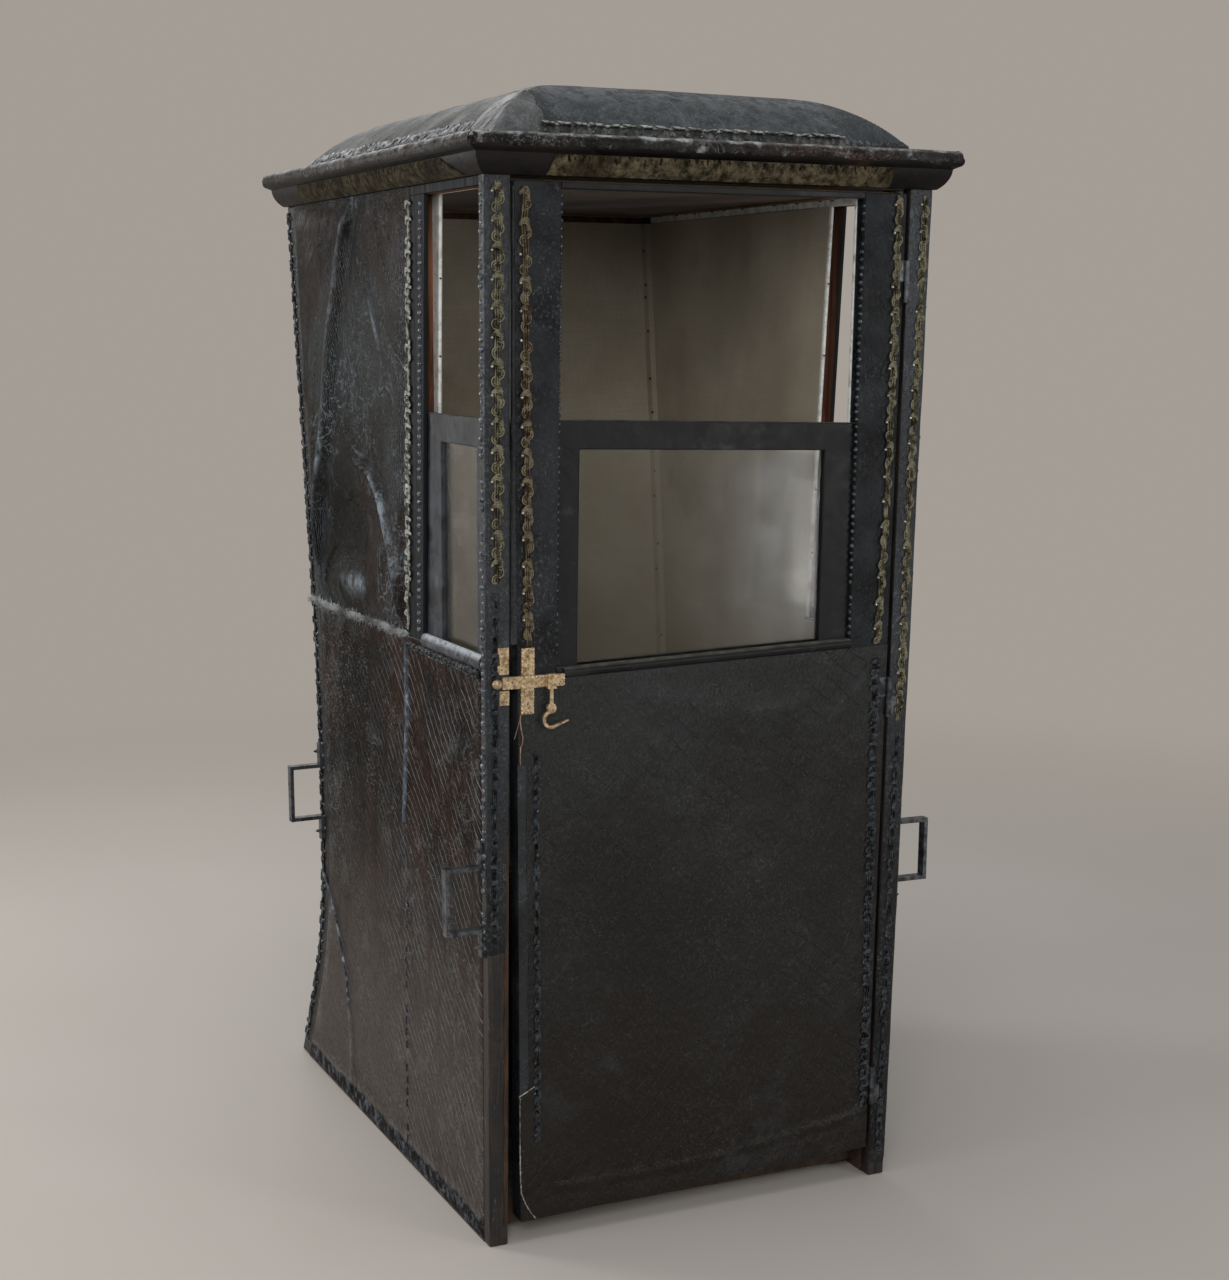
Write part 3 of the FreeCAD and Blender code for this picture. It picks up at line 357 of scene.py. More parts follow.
def wood(name, dark, light, worn, grain, rough=(0.5, 0.75), shine=0.3):
    """Grain runs along the axis with the smallest number."""
    look = Look(name, Specular_IOR_Level=shine)
    stretched = look.turned(grain)
    fibre = look.noise(1, 6, 0.65, 0.5, stretched)
    look.base = look.mix(look.span(fibre, 0.3, 0.7), dark, light)
    look.over(look.wave(0.35, stretched, 5.0, 3.0), dark, 0.3)
    look.over(look.spots((17, 6, 0.7), 0.56, 0.74), worn, 0.35)
    add_dust(look, (158, 152, 140), 0.4)
    return look.done(look.bump(fibre, 0.0006, look.bump(look.noise(30, 3), 0.0008)), look.span(fibre, 0.3, 0.7, *rough))


def metal(name, dark, light, stain, rough=(0.35, 0.6), metallic=0.75, scale=1.0):
    look = Look(name, metallic=metallic)
    cloud = look.noise(70 * scale, 5, 0.65)
    look.base = look.mix(look.span(cloud, 0.35, 0.65), dark, light)
    look.over(look.spots((150 * scale, 4, 0.7), 0.52, 0.66, 0, 0.85), stain)
    return look.done(look.bump(look.noise(240 * scale, 4), 0.0004), look.span(cloud, 0.3, 0.7, rough[1], rough[0]))


def cloth(name, dark, light, stain):
    """Plain weave: two sets of threads in each of the wall directions."""
    look = Look(name, roughness=0.9, Sheen_Weight=0.15, Specular_IOR_Level=0.2)
    look.base = look.mix(look.spots((3.5, 5), 0.33, 0.7), dark, light)
    threads = look.plus(look.streaks((14, 14, 420), 3, 0.6, 0.0), look.streaks((420, 420, 14), 3, 0.6, 0.0))
    look.over(look.span(threads, 0.85, 1.15, 0.0, 0.3), dark)
    look.over(look.spots((6, 6, 0.6), 0.55, 0.75), stain, 0.5)
    pitch = 1150.0 / 6.3
    warp = look.wave(pitch, look.turned((1, 1, 0.0)), 0.4, 1.0)
    weft = look.wave(pitch, None, 0.4, 1.0, "Z")
    normal = look.bump(look.math("MAXIMUM", warp, weft), 0.00018)
    return look.done(look.bump(look.noise(9, 4), 0.004, normal))


def glass_look():
    look = Look("window_glass", roughness=0.03, Transmission_Weight=1.0, IOR=1.45)
    smear = look.noise(7, 5, 0.6)
    look.feed(look.shader.inputs["Alpha"], look.spots((16, 5, 0.65), 0.4, 0.8, 0.22, 0.45))
    look.base = look.mix(smear, (236, 242, 238), (250, 252, 250))
    return look.done(look.bump(look.noise(5, 2), 0.0006), look.span(smear, 0.35, 0.7, 0.12, 0.19))


def paint_look():
    """The cornice: dark paint and old leather over the moulding, worn to brown in patches."""
    look = Look("cornice_paint", Specular_IOR_Level=0.14)
    cloud = look.noise(7, 6, 0.6)
    look.base = look.mix(look.span(cloud, 0.35, 0.66), (9, 8, 8), (30, 26, 24))
    look.over(look.spots((26, 6, 0.68), 0.56, 0.72, 0, 0.6), (66, 46, 32))
    look.over(look.spots((90, 4, 0.7), 0.64, 0.70, 0, 0.8), (14, 12, 10))
    normal = look.bump(look.noise(36, 5, 0.6), 0.0022)
    add_dust(look, (120, 122, 126), 0.75)
    return look.done(look.bump(look.noise(140, 4), 0.0007, normal), look.span(cloud, 0.3, 0.7, 0.38, 0.62))


def layers(look, reds, creams):
    """Wood fibre, the red-brown wood of a window's opening, and the cream paint on it."""
    fibre = look.streaks((90, 90, 4), 5, 0.6, 0.4)
    return (fibre, look.mix(look.span(fibre, 0.35, 0.65), *reds),
            look.mix(look.spots((60, 5, 0.65), 0.42, 0.7), *creams))


def leaning_face(look, place, face):
    """A leaning face's place at the height of the surface."""
    return look.plus(look.times(place, (face(1.5) - face(0)) / 1.5), face(0))


def jamb_look():
    """A post or wall beside a window: leather outside, red-brown wood in the sash channel, cream paint within."""
    look = Look("jamb_layers", roughness=0.6, Specular_IOR_Level=0.12)
    x, y, z = look.axes()
    inset = look.minus(leaning_face(look, z, side_x), look.absolute(x))
    hide = look.mix(look.noise(11, 5), (14, 15, 17), (34, 37, 41))
    fibre, red, cream = layers(look, ((70, 42, 30), (150, 104, 78)), ((246, 248, 244), (196, 190, 178)))
    look.base = look.mix(look.span(inset, 0.0066, 0.0074), hide, red)
    look.over(look.span(inset, 0.0222, 0.0232), cream)
    return look.done(look.bump(look.noise(60, 5), 0.0008), look.span(fibre, 0.3, 0.7, 0.45, 0.75))


def stile_look():
    """A door stile under its leather: cream paint and red-brown wood on the face towards the window."""
    look = Look("door_stile_layers", roughness=0.55, Specular_IOR_Level=0.12)
    x, y, z = look.axes()
    hide = look.mix(look.spots((11, 5), 0.35, 0.65), (22, 23, 25), (44, 46, 49))
    # Painted glints: pale flecks on the hide stand for highlights on its grain.
    painted_glint_mask = look.span(look.streaks((260, 260, 200), 5, 0.7, 0.6, (0.3, 0.2, 0)), 0.54, 0.64)
    painted_glint_mask = look.times(painted_glint_mask, look.spots((8, 6, 0.7), 0.44, 0.66, 0.05, 0.35))
    hide = look.mix(painted_glint_mask, hide, (120, 126, 130))
    fibre, red, cream = layers(look, ((60, 36, 26), (128, 88, 66)), ((240, 242, 238), (180, 174, 160)))
    depth = look.minus(y, leaning_face(look, z, front_y))
    reveal = look.minus(1.0, look.span(look.absolute(x), WINDOW_HALF + 0.0006, WINDOW_HALF + 0.0016))
    inner = look.mix(look.span(depth, 0.0130, 0.0138), red, cream)
    grain = look.streaks((190, 190, 110), 4, 0.55, 0.5, (0.5, 0.6, 0))
    look.base = look.mix(look.times(reveal, look.span(depth, 0.0060, 0.0066)), hide, inner)
    return look.done(look.bump(grain, 0.0018, look.bump(look.noise(26, 5, 0.6), 0.0030)),
                     look.spots((13, 6, 0.62), 0.3, 0.75, 0.30, 0.5))


def wrapped_post_look():
    """Bare brown wood of the front posts, seen below their leather collar."""
    look = Look("front_post_wood", roughness=0.6)
    fibre = look.streaks((85, 85, 4), 6, 0.65, 0.5)
    look.base = look.mix(look.span(fibre, 0.36, 0.64), (16, 14, 12), (50, 41, 36))
    look.over(look.spots((14, 6, 0.72), 0.46, 0.60, 0, 0.7), (20, 19, 19))
    chips = look.span(look.streaks((120, 120, 30), 6, 0.72, 0.8), 0.60, 0.66, 0, 0.7)
    look.over(chips, (104, 94, 86))
    add_dust(look, (120, 112, 100), 0.2)
    return look.done(look.bump(fibre, 0.0022, look.bump(look.noise(30, 5, 0.65), 0.003)),
                     look.span(fibre, 0.3, 0.7, 0.38, 0.62))


def gilt_look(name, dark, light, dirt, metallic=0.25, rough=0.55):
    """Tarnished metal thread, wound finely round its core."""
    look = Look(name, roughness=rough, metallic=metallic)
    look.base = look.mix(look.spots((120, 4, 0.7), 0.36, 0.68), dark, light)
    look.over(look.spots((22, 5, 0.65), 0.46, 0.60, 0, 0.75), dirt)
    wear_and_painted_light = look.node("Attribute", attribute_name="wear_and_painted_light").outputs["Fac"]
    # Painted shade darkens the thread where wear_and_painted_light is below zero; a painted highlight lightens it where
    # it is above zero.
    deep = tuple(0.25 * c for c in tone(*dirt)[:3]) + (1,)
    look.over(look.span(wear_and_painted_light, -0.1, -0.9, 0, 0.9), deep)
    look.over(look.span(wear_and_painted_light, 0.1, 0.9, 0, 0.8), light)
    winding = look.wave(420, None, 1.0, 2.0, "Z")
    return look.done(look.bump(winding, 0.0004, look.bump(look.noise(500, 3), 0.0004)))


def webbing_look():
    """Woven tape with a fine diagonal and dark tufts hanging from its upper edge."""
    look = Look("webbing_tape", roughness=0.9, Specular_IOR_Level=0.08)
    x, y, z = look.axes()
    look.base = look.mix(look.spots((70, 6, 0.72), 0.34, 0.66), (36, 31, 22), (112, 102, 80))
    look.over(look.span(look.absolute(x), 0.330, 0.345), (30, 25, 19), 0.5)
    tuft = look.streaks((150, 150, 30), 3, 0.6, 0.3)
    dark = look.span(look.minus(z, look.times(tuft, 0.030)), 1.4990, 1.5050)
    holes = look.span(look.streaks((190, 190, 90), 4, 0.7, 0.4), 0.50, 0.60)
    look.over(dark, (15, 12, 9), holes)
    look.over(look.spots((12, 6, 0.7), 0.48, 0.62, 0, 0.7), (32, 25, 17))
    diagonal = look.wave(160, look.turned((1, 1, 1), (0, 0.7, 0)), 0.5, 2.0)
    return look.done(look.bump(diagonal, 0.0005, look.bump(look.noise(160, 4), 0.0006)))


def side_wall_look():
    """Bare wood of the lower side wall, with the dusty black leather of the window sill on its top."""
    look = Look("side_wall", roughness=0.55)
    inside = look.mix(look.streaks((60, 5, 60), 5, 0.6, 0.4), (48, 34, 24), (98, 76, 56))
    hide = look.mix(look.spots((60, 6, 0.72), 0.42, 0.6), (18, 19, 21), (84, 90, 98))
    up = look.span(look.facing()[2], 0.1, 0.9)
    hide = look.mix(look.times(up, look.spots((120, 6, 0.75), 0.36, 0.52, 0.3, 1)), hide, (206, 214, 220))
    look.base = look.mix(look.span(look.axes()[2], 0.8355, 0.8365), inside, hide)
    return look.done(look.bump(look.noise(95, 6, 0.7), 0.0045))


# ---- the frame's faces, found with rays
TREES = {}


def struck(names, origin, direction):
    """Where a ray first meets one of the named nodes, and the face's direction there."""
    if names not in TREES:
        points, faces = [], []
        for name in names:
            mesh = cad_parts[name].data
            base = len(points)
            points += [v.co.copy() for v in mesh.vertices]
            faces += [[base + i for i in p.vertices] for p in mesh.polygons]
        TREES[names] = BVHTree.FromPolygons(points, faces)
    place, normal, face, distance = TREES[names].ray_cast(Vector(origin), Vector(direction).normalized())
    return place, normal


def leaning(names, axis, origin, direction, low=0.1, high=1.4):
    """The place of a flat leaning face as a function of the height."""
    ends = [struck(names, origin(z), direction)[0][axis] for z in (low, high)]
    return lambda z: ends[0] + (ends[1] - ends[0]) * (z - low) / (high - low)


front_y = leaning(("front_post_left",), 1, lambda z: (-0.32, -1, z), (0, 1, 0))
side_x = leaning(("side_panel_right", "quarter_panel_right"), 0, lambda z: (1, 0.1, z), (-1, 0, 0))
FRONT_FOOT = front_y(0)
LEAN = atan2(FRONT_FOOT - front_y(1.5), 1.5)
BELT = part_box("quarter_panel_left")[0][2]
WALL_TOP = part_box("front_post_left")[1][2]
TOP_EDGE = WALL_TOP - 0.0005  # where the walls' leather ends
REAR_POST = ("rear_post_left",)


def rear_y(z):
    return struck(REAR_POST, (-0.31, 1, min(max(z, 0.001), WALL_TOP - 0.001)), (0, -1, 0))[0].y


def on_front(x, s, out=0.0):
    """A point on the leaning front, s up its slope and out of it."""
    return vec(x, FRONT_FOOT - s * sin(LEAN) - out * cos(LEAN), s * cos(LEAN) - out * sin(LEAN))


def on_side(sign, y, z, out=0.0):
    return vec(sign * (side_x(z) + out), y, z)


FRONT_OUT = vec(0, -cos(LEAN), -sin(LEAN))


def sloped(rows, x):
    (a, fa), (b, fb) = rows
    return fa + (fb - fa) * (x - a) / (b - a)


# ---- ways of making a piece
class Shape:
    """Points and faces gathered for one joined mesh."""

    def __init__(self):
        self.points = []
        self.faces = []
        self.wear_and_painted_light = []

    def add(self, points, faces, wear_and_painted_light=None):
        base = len(self.points)
        self.points += points
        self.wear_and_painted_light += wear_and_painted_light or [0.0] * len(points)
        self.faces += [[base + i for i in face] for face in faces]

    def make(self, name, material, body, slot, crease=60):
        mesh = bpy.data.meshes.new(name)
        mesh.from_pydata(self.points, [], self.faces)
        mesh.update()
        work = bmesh.new()
        work.from_mesh(mesh)
        bmesh.ops.recalc_face_normals(work, faces=work.faces)
        work.to_mesh(mesh)
        work.free()
        for polygon in mesh.polygons:
            polygon.use_smooth = True
        mesh.set_sharp_from_angle(angle=radians(crease))
        if any(self.wear_and_painted_light):
            mesh.attributes.new("wear_and_painted_light", "FLOAT", "POINT").data.foreach_set("value", self.wear_and_painted_light)
        piece = added(name, mesh)
        mesh.materials.append(material)
        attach(piece, body)
        return piece


def standing(heights, reach=6, scale=0.0012):
    """How far each point of a grid stands over (1) or lies under (-1) what is round it."""
    grid = np.array(heights)
    around = np.pad(grid, reach, mode="edge")
    for axis in (0, 1):
        around = sum(np.roll(around, k, axis) for k in range(-reach, reach + 1)) / (2 * reach + 1)
    return np.clip((grid - around[reach:-reach, reach:-reach]) / scale, -1, 1)


def slab(place, across, up, relief, deep=0.0012, tint=None, under=1):
    """A thin closed sheet on a surface. place(u, v) gives a point and the way out, relief its height there; the
    hidden side has one facet where the shown side has under by under of them."""
    outer, inner, heights = [], [], []
    for j in range(up + 1):
        for i in range(across + 1):
            u, v = i / across, j / up
            point, out = place(u, v)
            heights.append(relief(u, v, point))
            outer.append(point + out * heights[-1])
            inner.append(point - out * deep)
    row = across + 1
    count = row * (up + 1)
    columns = sorted({*range(0, across, under), across})
    rows = sorted({*range(0, up, under), up})
    kept = [a for a in range(count) if a % row in (0, across) or a // row in (0, up)
            or (a % row % under == 0 and a // row % under == 0)]
    below = {a: count + k for k, a in enumerate(kept)}
    faces = [(a, a + 1, a + row + 1, a + row) for a in range(count - row) if a % row < across]
    for j, top in zip(rows, rows[1:]):
        for i, end in zip(columns, columns[1:]):
            edge = ([(i, k) for k in range(j, top)] + [(k, top) for k in range(i, end)]
                    + [(end, k) for k in range(top, j, -1)] + [(k, j) for k in range(end, i, -1)])
            faces.append([below[x + y * row] for x, y in edge if x + y * row in below])
    rim = ([i for i in range(across)] + [j * row + across for j in range(up)]
           + [up * row + i for i in range(across, 0, -1)] + [j * row for j in range(up, 0, -1)])
    for a, b in zip(rim, rim[1:] + rim[:1]):
        faces.append((a, below[a], below[b], b))
    if tint:
        wear_and_painted_light = [tint(point) for point in outer]
    else:
        # Without a tint, points that stand out get a painted highlight and points that lie low get painted shade.
        wear_and_painted_light = standing(np.array(heights).reshape(up + 1, row)).ravel().tolist() if count > 4000 else [0.0] * count
    return outer + [inner[a] for a in kept], faces, wear_and_painted_light + [0.0] * len(kept)


def skin(name, place, across, up, relief, material, body, slot, deep=0.0012, tint=None, under=1):
    shape = Shape()
    shape.add(*slab(place, across, up, relief, deep, tint, under))
    return shape.make(name, material, body, slot)


def edge_fade(u, v, width):
    """0 on the rim of a sheet, 1 inside it."""
    return min(smooth(min(u, 1 - u), 0, width), smooth(min(v, 1 - v), 0, width))


def ring_faces(rings, sides):
    """Faces between rings of points that follow one another."""
    return [(base + n, base + (n + 1) % sides, base + sides + (n + 1) % sides, base + sides + n)
            for base in range(0, (rings - 1) * sides, sides) for n in range(sides)]


def tube(path, ups, radius, sides, lobes=0, turns=0.0, flat=1.0, taper=False):
    """A cord along a path of points; ups gives the way out of the surface, lobes and turns its twist."""
    points = []
    count = len(path)
    run = 0.0
    for k, point in enumerate(path):
        ahead = path[min(k + 1, count - 1)] - path[max(k - 1, 0)]
        if k:
            run += (point - path[k - 1]).length
        side = ahead.cross(ups[k])
        side = side.normalized() if side.length > 1e-9 else vec(1, 0, 0)
        lift = side.cross(ahead).normalized()
        size = radius * (1 - 0.85 * k / (count - 1) if taper else 1)
        for n in range(sides):
            angle = 2 * pi * n / sides
            r = size * (1 + (0.24 * cos(lobes * angle - turns * run) if lobes else 0))
            points.append(point + side * r * cos(angle) + lift * r * flat * sin(angle))
    ends = [tuple(range(sides)), tuple(range((count - 1) * sides, count * sides))]
    return points, ring_faces(count, sides) + ends


STUD_RINGS = ((1.0, -0.35), (1.0, 0.1), (0.82, 0.6), (0.45, 0.92))  # width and height of a nail head's rings


def stud(place, out, radius, height, sides=8):
    """A nail's domed head, let slightly into the surface."""
    out = out.normalized()
    a = out.orthogonal().normalized()
    b = out.cross(a)
    points = []
    for wide, tall in STUD_RINGS:
        for n in range(sides):
            angle = 2 * pi * n / sides
            points.append(place + (a * cos(angle) + b * sin(angle)) * radius * wide + out * height * tall)
    top = len(points)
    crown = [(top - sides + n, top - sides + (n + 1) % sides, top) for n in range(sides)]
    return points + [place + out * height], ring_faces(len(STUD_RINGS), sides) + crown + [tuple(range(sides))]


def line_of(path, steps):
    return [path(k / steps)[0] for k in range(steps + 1)]


def nails(shape, path, spacing, radius, height, seed, missing=0.06, jitter=0.0006):
    """Studs along path(t), which gives a point and the way out."""
    draw = Random(seed)
    start, end = path(0)[0], path(1)[0]
    count = max(2, int((end - start).length / spacing))
    for k in range(count + 1):
        point, out = path(k / count)
        shift = Vector([draw.uniform(-jitter, jitter) for axis in range(3)])
        size = radius * draw.uniform(0.9, 1.08)
        if draw.random() > missing:
            shape.add(*stud(point + shift, out, size, height))


def fibres(shape, path, count, length, seed, spread=0.8, droop=0.0, thick=0.00022):
    """Loose threads that stand off a torn edge."""
    draw = Random(seed)
    for k in range(count):
        point, out = path(draw.random())
        aim = Vector([draw.gauss(0, spread) for axis in range(3)]) + out * 1.2 - vec(0, 0, droop)
        aim.normalize()
        bend = Vector([draw.gauss(0, 0.5) for axis in range(3)])
        size = length * draw.uniform(0.4, 1.2)
        steps = [point - out * 0.0004, point + aim * size * 0.5, point + (aim + bend * 0.6).normalized() * size]
        shape.add(*tube(steps, [aim.orthogonal()] * 3, thick, 3, taper=True))


def gimp(name, path, length, width, period, material, body, slot, seed, thick=0.0013, ruin=0.2, frays=0,
         pearls=None, backed=True, sides=5, bends=8):
    """Metal-thread braid. Three cords lie side by side on a tape; at each repeat a fan of loops crosses them from
    a nail head, a double loop hangs on one side and a double ring stands on the other. path(t) gives a point, the
    way across and out."""
    shape = Shape()
    draw = Random(seed)

    def spot(s, across_by, lift):
        point, across, out = path(clip(s / length, 0.0, 1.0))
        return point + across * across_by + out * lift

    def cord(rows, radius, wear_and_painted_light=0.0):
        """The thread takes painted shade next to the tape and a painted highlight on its crown, with worn stretches
        along it.
        """
        outs = [path(clip(row[0] / length, 0.0, 1.0))[2] for row in rows]
        line = [spot(*row) for row in rows]
        points, faces = tube(line, outs, radius, sides, 2, 1300)
        tints = []
        for k, middle in enumerate(line):
            worn = 1.5 * noise.noise(middle * 150 + vec(seed, radius * 9000, 0))
            tints += [clip(wear_and_painted_light + worn + 0.75 * (point - middle).dot(outs[k]) / radius - 0.15)
                      for point in points[sides * k:sides * k + sides]]
        shape.add(points, faces, tints)

    def tape(u, v):
        point, across, out = path(v)
        sway = 0.12 * wander(v * length * 40, seed, 5)
        return point + across * width * (0.60 * (u - 0.5) + ruin * sway), out

    steps = int(length / 0.004)
    if backed:
        # The tape takes the darkest tint, painted shade between the cords.
        shape.add(*slab(tape, 4, steps, lambda u, v, p: thick * (0.2 + 0.3 * sin(pi * u)), 0.0004, lambda p: -1.0, 4))
    for shift in (-0.20, 0.0, 0.20) if backed else (-0.1, 0.12):
        # The core cords take a darker tint, painted shade under the loops.
        sways = [0.4 * ruin * wander(length * k / steps * 30, seed, shift) for k in range(steps + 1)]
        cord([(length * k / steps, width * (shift + sway), thick * 0.8) for k, sway in enumerate(sways)],
             thick * 0.80, -0.35)
    s = 0.3 * period
    while s < length - 0.35 * period:
        wild = [draw.uniform(-1, 1) * ruin for k in range(6)]
        if draw.random() > 0.2 * ruin:
            for k in range(5):
                rows = []
                for n in range(bends + 1):
                    t = n / bends
                    fan = (k - 2) * period * 0.062 * (0.3 + 1.0 * t)
                    drop = 0.10 * period * smooth(t, 0.75, 1.0) - 0.13 * period * sin(pi * min(1, t * 1.15))
                    rows.append((s + fan + drop + 0.05 * period * wild[0],
                                 width * (t - 0.5 - 0.06 * smooth(t, 0.8, 1) + 0.08 * wild[1]),
                                 thick * (0.9 + 2.1 * sin(pi * t))))
                cord(rows, thick * 0.72, 0.15 - 0.55 * (k % 2))
        for low, high, side, odds in ((0.10, 0.50, 1, 0.3), (0.40, 0.76, -1, 0.25)):
            if draw.random() > odds * ruin:
                for inner in (1.0, 0.55):
                    middle, half = (low + high) / 2, (high - low) / 2 * inner
                    rows = []
                    for n in range(bends + 1):
                        angle = pi * n / bends
                        rows.append((s + period * (middle - half * cos(angle)),
                                     side * width * (0.10 + (0.40 + 0.1 * wild[2]) * inner * sin(angle)),
                                     thick * (0.9 + 0.7 * sin(angle))))
                    cord(rows, thick * 0.74, 0.7 * inner - 0.35)
        if pearls is not None and draw.random() > 0.35 * ruin:
            pearls.add(*stud(spot(s + 0.002, -width * 0.46, thick), path(s / length)[2], thick * 1.6, thick * 2.0))
        s += period * (1 + 0.10 * wild[4])
    if frays:
        def edge(t):
            point, across, out = path(t)
            return point + across * draw.uniform(-0.5, 0.5) * width + out * thick, out
        fibres(shape, edge, frays, 0.006, seed + 1, thick=0.0003)
    return shape.make(name, material, body, slot, 80)


# ---- the parts in the frame get their finish
make_camera()
bpy.context.scene.view_settings.view_transform = "Standard"
make_studio()

WINDOW_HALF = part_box("door_panel")[1][0]
SLANT = (0, 0.69, -0.72)
HIDE_FRONT = leather("hide_front", (24, 24, 24), (38, 40, 40), (110, 115, 118), (0.28, 0.48), grain=0.0026,
                     foot=((29, 24, 20), 0.05, 0.95), crackle=0.16, scuff=0.35, painted_glint=0.22, folds=0.6,
                     lines=(((0.62, 0, 0.78), 0.027, 0.0011, 0.05, 0.10, (0.46, 0.66)),
                            ((0.76, 0, -0.65), 0.017, 0.0009, 0.06, 0.15, (0.48, 0.62))))
HIDE_POST = leather("hide_post", (34, 37, 40), (54, 58, 62), (128, 136, 142), (0.26, 0.48),
                    foot=((22, 22, 23), 0.3, 0.95), crackle=0.5, scuff=0.6, painted_glint=0.36)
# The pale foot of the side leather is dust and painted reflection of the floor.
HIDE_SIDE = leather("hide_side", (14, 12, 10), (27, 23, 21), (150, 152, 152), (0.30, 0.52),
                    foot=((82, 75, 70), 0.16, 0.64), crackle=0.4, scuff=0.7, hem=0.035, ruddy=0.6,
                    shine=0.02, folds=0.3, painted_glint=0.38,
                    lines=((SLANT, 0.0150, 0.0011, 0.050, 1.0, (0.42, 0.54)),
                           (SLANT, 0.0067, 0.0006, 0.050, 0.36, (0.50, 0.62)),
                           ((0, 0.45, 0.89), 0.045, 0.0012, 0.09, 0.25, (0.52, 0.66))))
HIDE_QUARTER = leather("hide_quarter", (19, 18, 16), (38, 38, 33), (150, 162, 172), (0.24, 0.46),
                       crackle=0.7, scuff=0.45, ruddy=0.28, shine=0.035, folds=0.9, whorls=0.20, painted_glint=0.26)
HIDE_DOME = leather("hide_dome", (34, 37, 39), (68, 73, 77), (160, 168, 174), (0.36, 0.54),
                    crackle=0.35, scuff=0.6, dust=0.12, shine=0.05, folds=0.8, painted_glint=0.28,
                    lines=(((1, 0.12, 0), 0.052, 0.0014, 0.05, 0.40, (0.50, 0.62)),))
HIDE_BACK = leather("hide_back", (28, 25, 23), (46, 43, 41), (130, 128, 124), (0.34, 0.56), ruddy=0.4,
                    foot=((66, 60, 55), 0.05, 0.5), hem=0.035,
                    lines=(((0.9, 0, 0.3), 0.033, 0.0014, 0.06, 0.3, (0.45, 0.6)),))
SASH_PAINT = wood("sash_paint", (14, 14, 15), (30, 31, 33), (88, 88, 88), (26, 60, 26), (0.34, 0.56), 0.22)
SIDE_SASH = wood("side_sash_paint", (38, 40, 43), (72, 75, 81), (130, 134, 138), (60, 26, 26), (0.34, 0.56), 0.2)
BARE_WOOD = wood("bare_wood", (88, 66, 44), (150, 122, 88), (176, 150, 116), (55, 5, 60))
DARK_WOOD = wood("dark_wood", (34, 25, 19), (72, 54, 40), (96, 76, 58), (60, 6, 60))
TORN_WOOD = wood("torn_wood", (32, 22, 16), (78, 58, 43), (116, 96, 78), (150, 5, 22))
RED_WOOD = wood("red_wood", (52, 30, 20), (100, 66, 46), (128, 100, 76), (60, 5, 60))
IRON = metal("iron", (34, 35, 37), (92, 96, 102), (44, 36, 30), (0.32, 0.54), 0.45)
BRASS = metal("pale_brass", (142, 116, 82), (216, 194, 158), (78, 56, 34), (0.26, 0.44), 0.65, 2.2)
LINEN = cloth("linen", (162, 151, 131), (196, 187, 168), stain=(134, 119, 96))
# Much darker than the walls' linen: partly painted shade.
SHADED_CEILING_LINEN = cloth("ceiling_linen", (64, 44, 26), (98, 70, 42), stain=(40, 24, 14))
HIDE_TURNED = leather("hide_turned", (26, 27, 29), (48, 51, 54), (140, 146, 150), (0.28, 0.46))
# A pale bluish copy of the leather: painted highlight on the seam and arc rolls.
HIDE_ROLL_PAINTED_HIGHLIGHT = leather("hide_roll", (40, 45, 54), (74, 83, 96), (158, 170, 184), (0.24, 0.42), shine=0.12,
                    folds=0.9, painted_glint=0.3)
# A pale bluish copy of the leather: painted highlight on the crumpled strips at the foot of the dome.
HIDE_CRUMPLE_PAINTED_HIGHLIGHT = leather("hide_crumple", (34, 37, 42), (70, 76, 84), (176, 186, 194), (0.2, 0.4),
                       folds=0.9, shine=0.15)
HIDE_PATCH = leather("hide_patch", (46, 49, 53), (72, 77, 82), (160, 166, 170), (0.3, 0.5), folds=0.8,
                     painted_glint=0.5)
PEARL_BRASS = metal("brass_pearls", (206, 182, 144), (248, 232, 202), (150, 120, 84), (0.2, 0.36), 0.7, 2.0)
PEARL = metal("pearl_nails", (150, 146, 134), (226, 222, 210), (96, 88, 70), (0.22, 0.36), 0.7, 2.0)
PALE_STRIP = gilt_look("pale_strip", (112, 112, 106), (206, 206, 196), (66, 66, 62), 0.05, 0.75)
BORDER = wood("border_wood", (92, 72, 50), (134, 112, 84), (150, 128, 98), (9, 9, 60))
PINK_THREAD = gilt_look("pink_thread", (166, 120, 104), (204, 176, 160), (120, 96, 84), 0.0, 0.8)
CORNICE = paint_look()
JAMB = jamb_look()
STILE = stile_look()
POST_WOOD = wrapped_post_look()
GILT = gilt_look("gilt_gimp", (72, 67, 48), (172, 165, 136), (54, 44, 30))
GILT_BROWN = gilt_look("gilt_gimp_brown", (70, 63, 46), (160, 144, 116), (62, 44, 30))
WHITE_FRAY = gilt_look("white_fray", (176, 180, 180), (250, 252, 252), (84, 84, 84), 0.0, 0.7)
STRIP_GREY = gilt_look("strip_grey", (60, 60, 58), (120, 121, 118), (34, 34, 33), 0.05, 0.7)
GREY_GIMP = gilt_look("grey_gimp", (120, 120, 112), (222, 222, 212), (44, 44, 42), 0.0, 0.7)
BLACK_GIMP = gilt_look("black_gimp", (24, 26, 28), (92, 98, 104), (16, 17, 18), 0.1, 0.26)
STUDS = metal("stud_heads", (24, 27, 31), (96, 106, 116), (12, 12, 13), (0.12, 0.26), 0.4, 2.5)
PALE_STUDS = metal("pale_stud_heads", (36, 41, 47), (124, 134, 144), (18, 19, 21), (0.14, 0.30), 0.4, 4)
WEBBING = webbing_look()
GLASS = glass_look()
SIDE_WALL = side_wall_look()

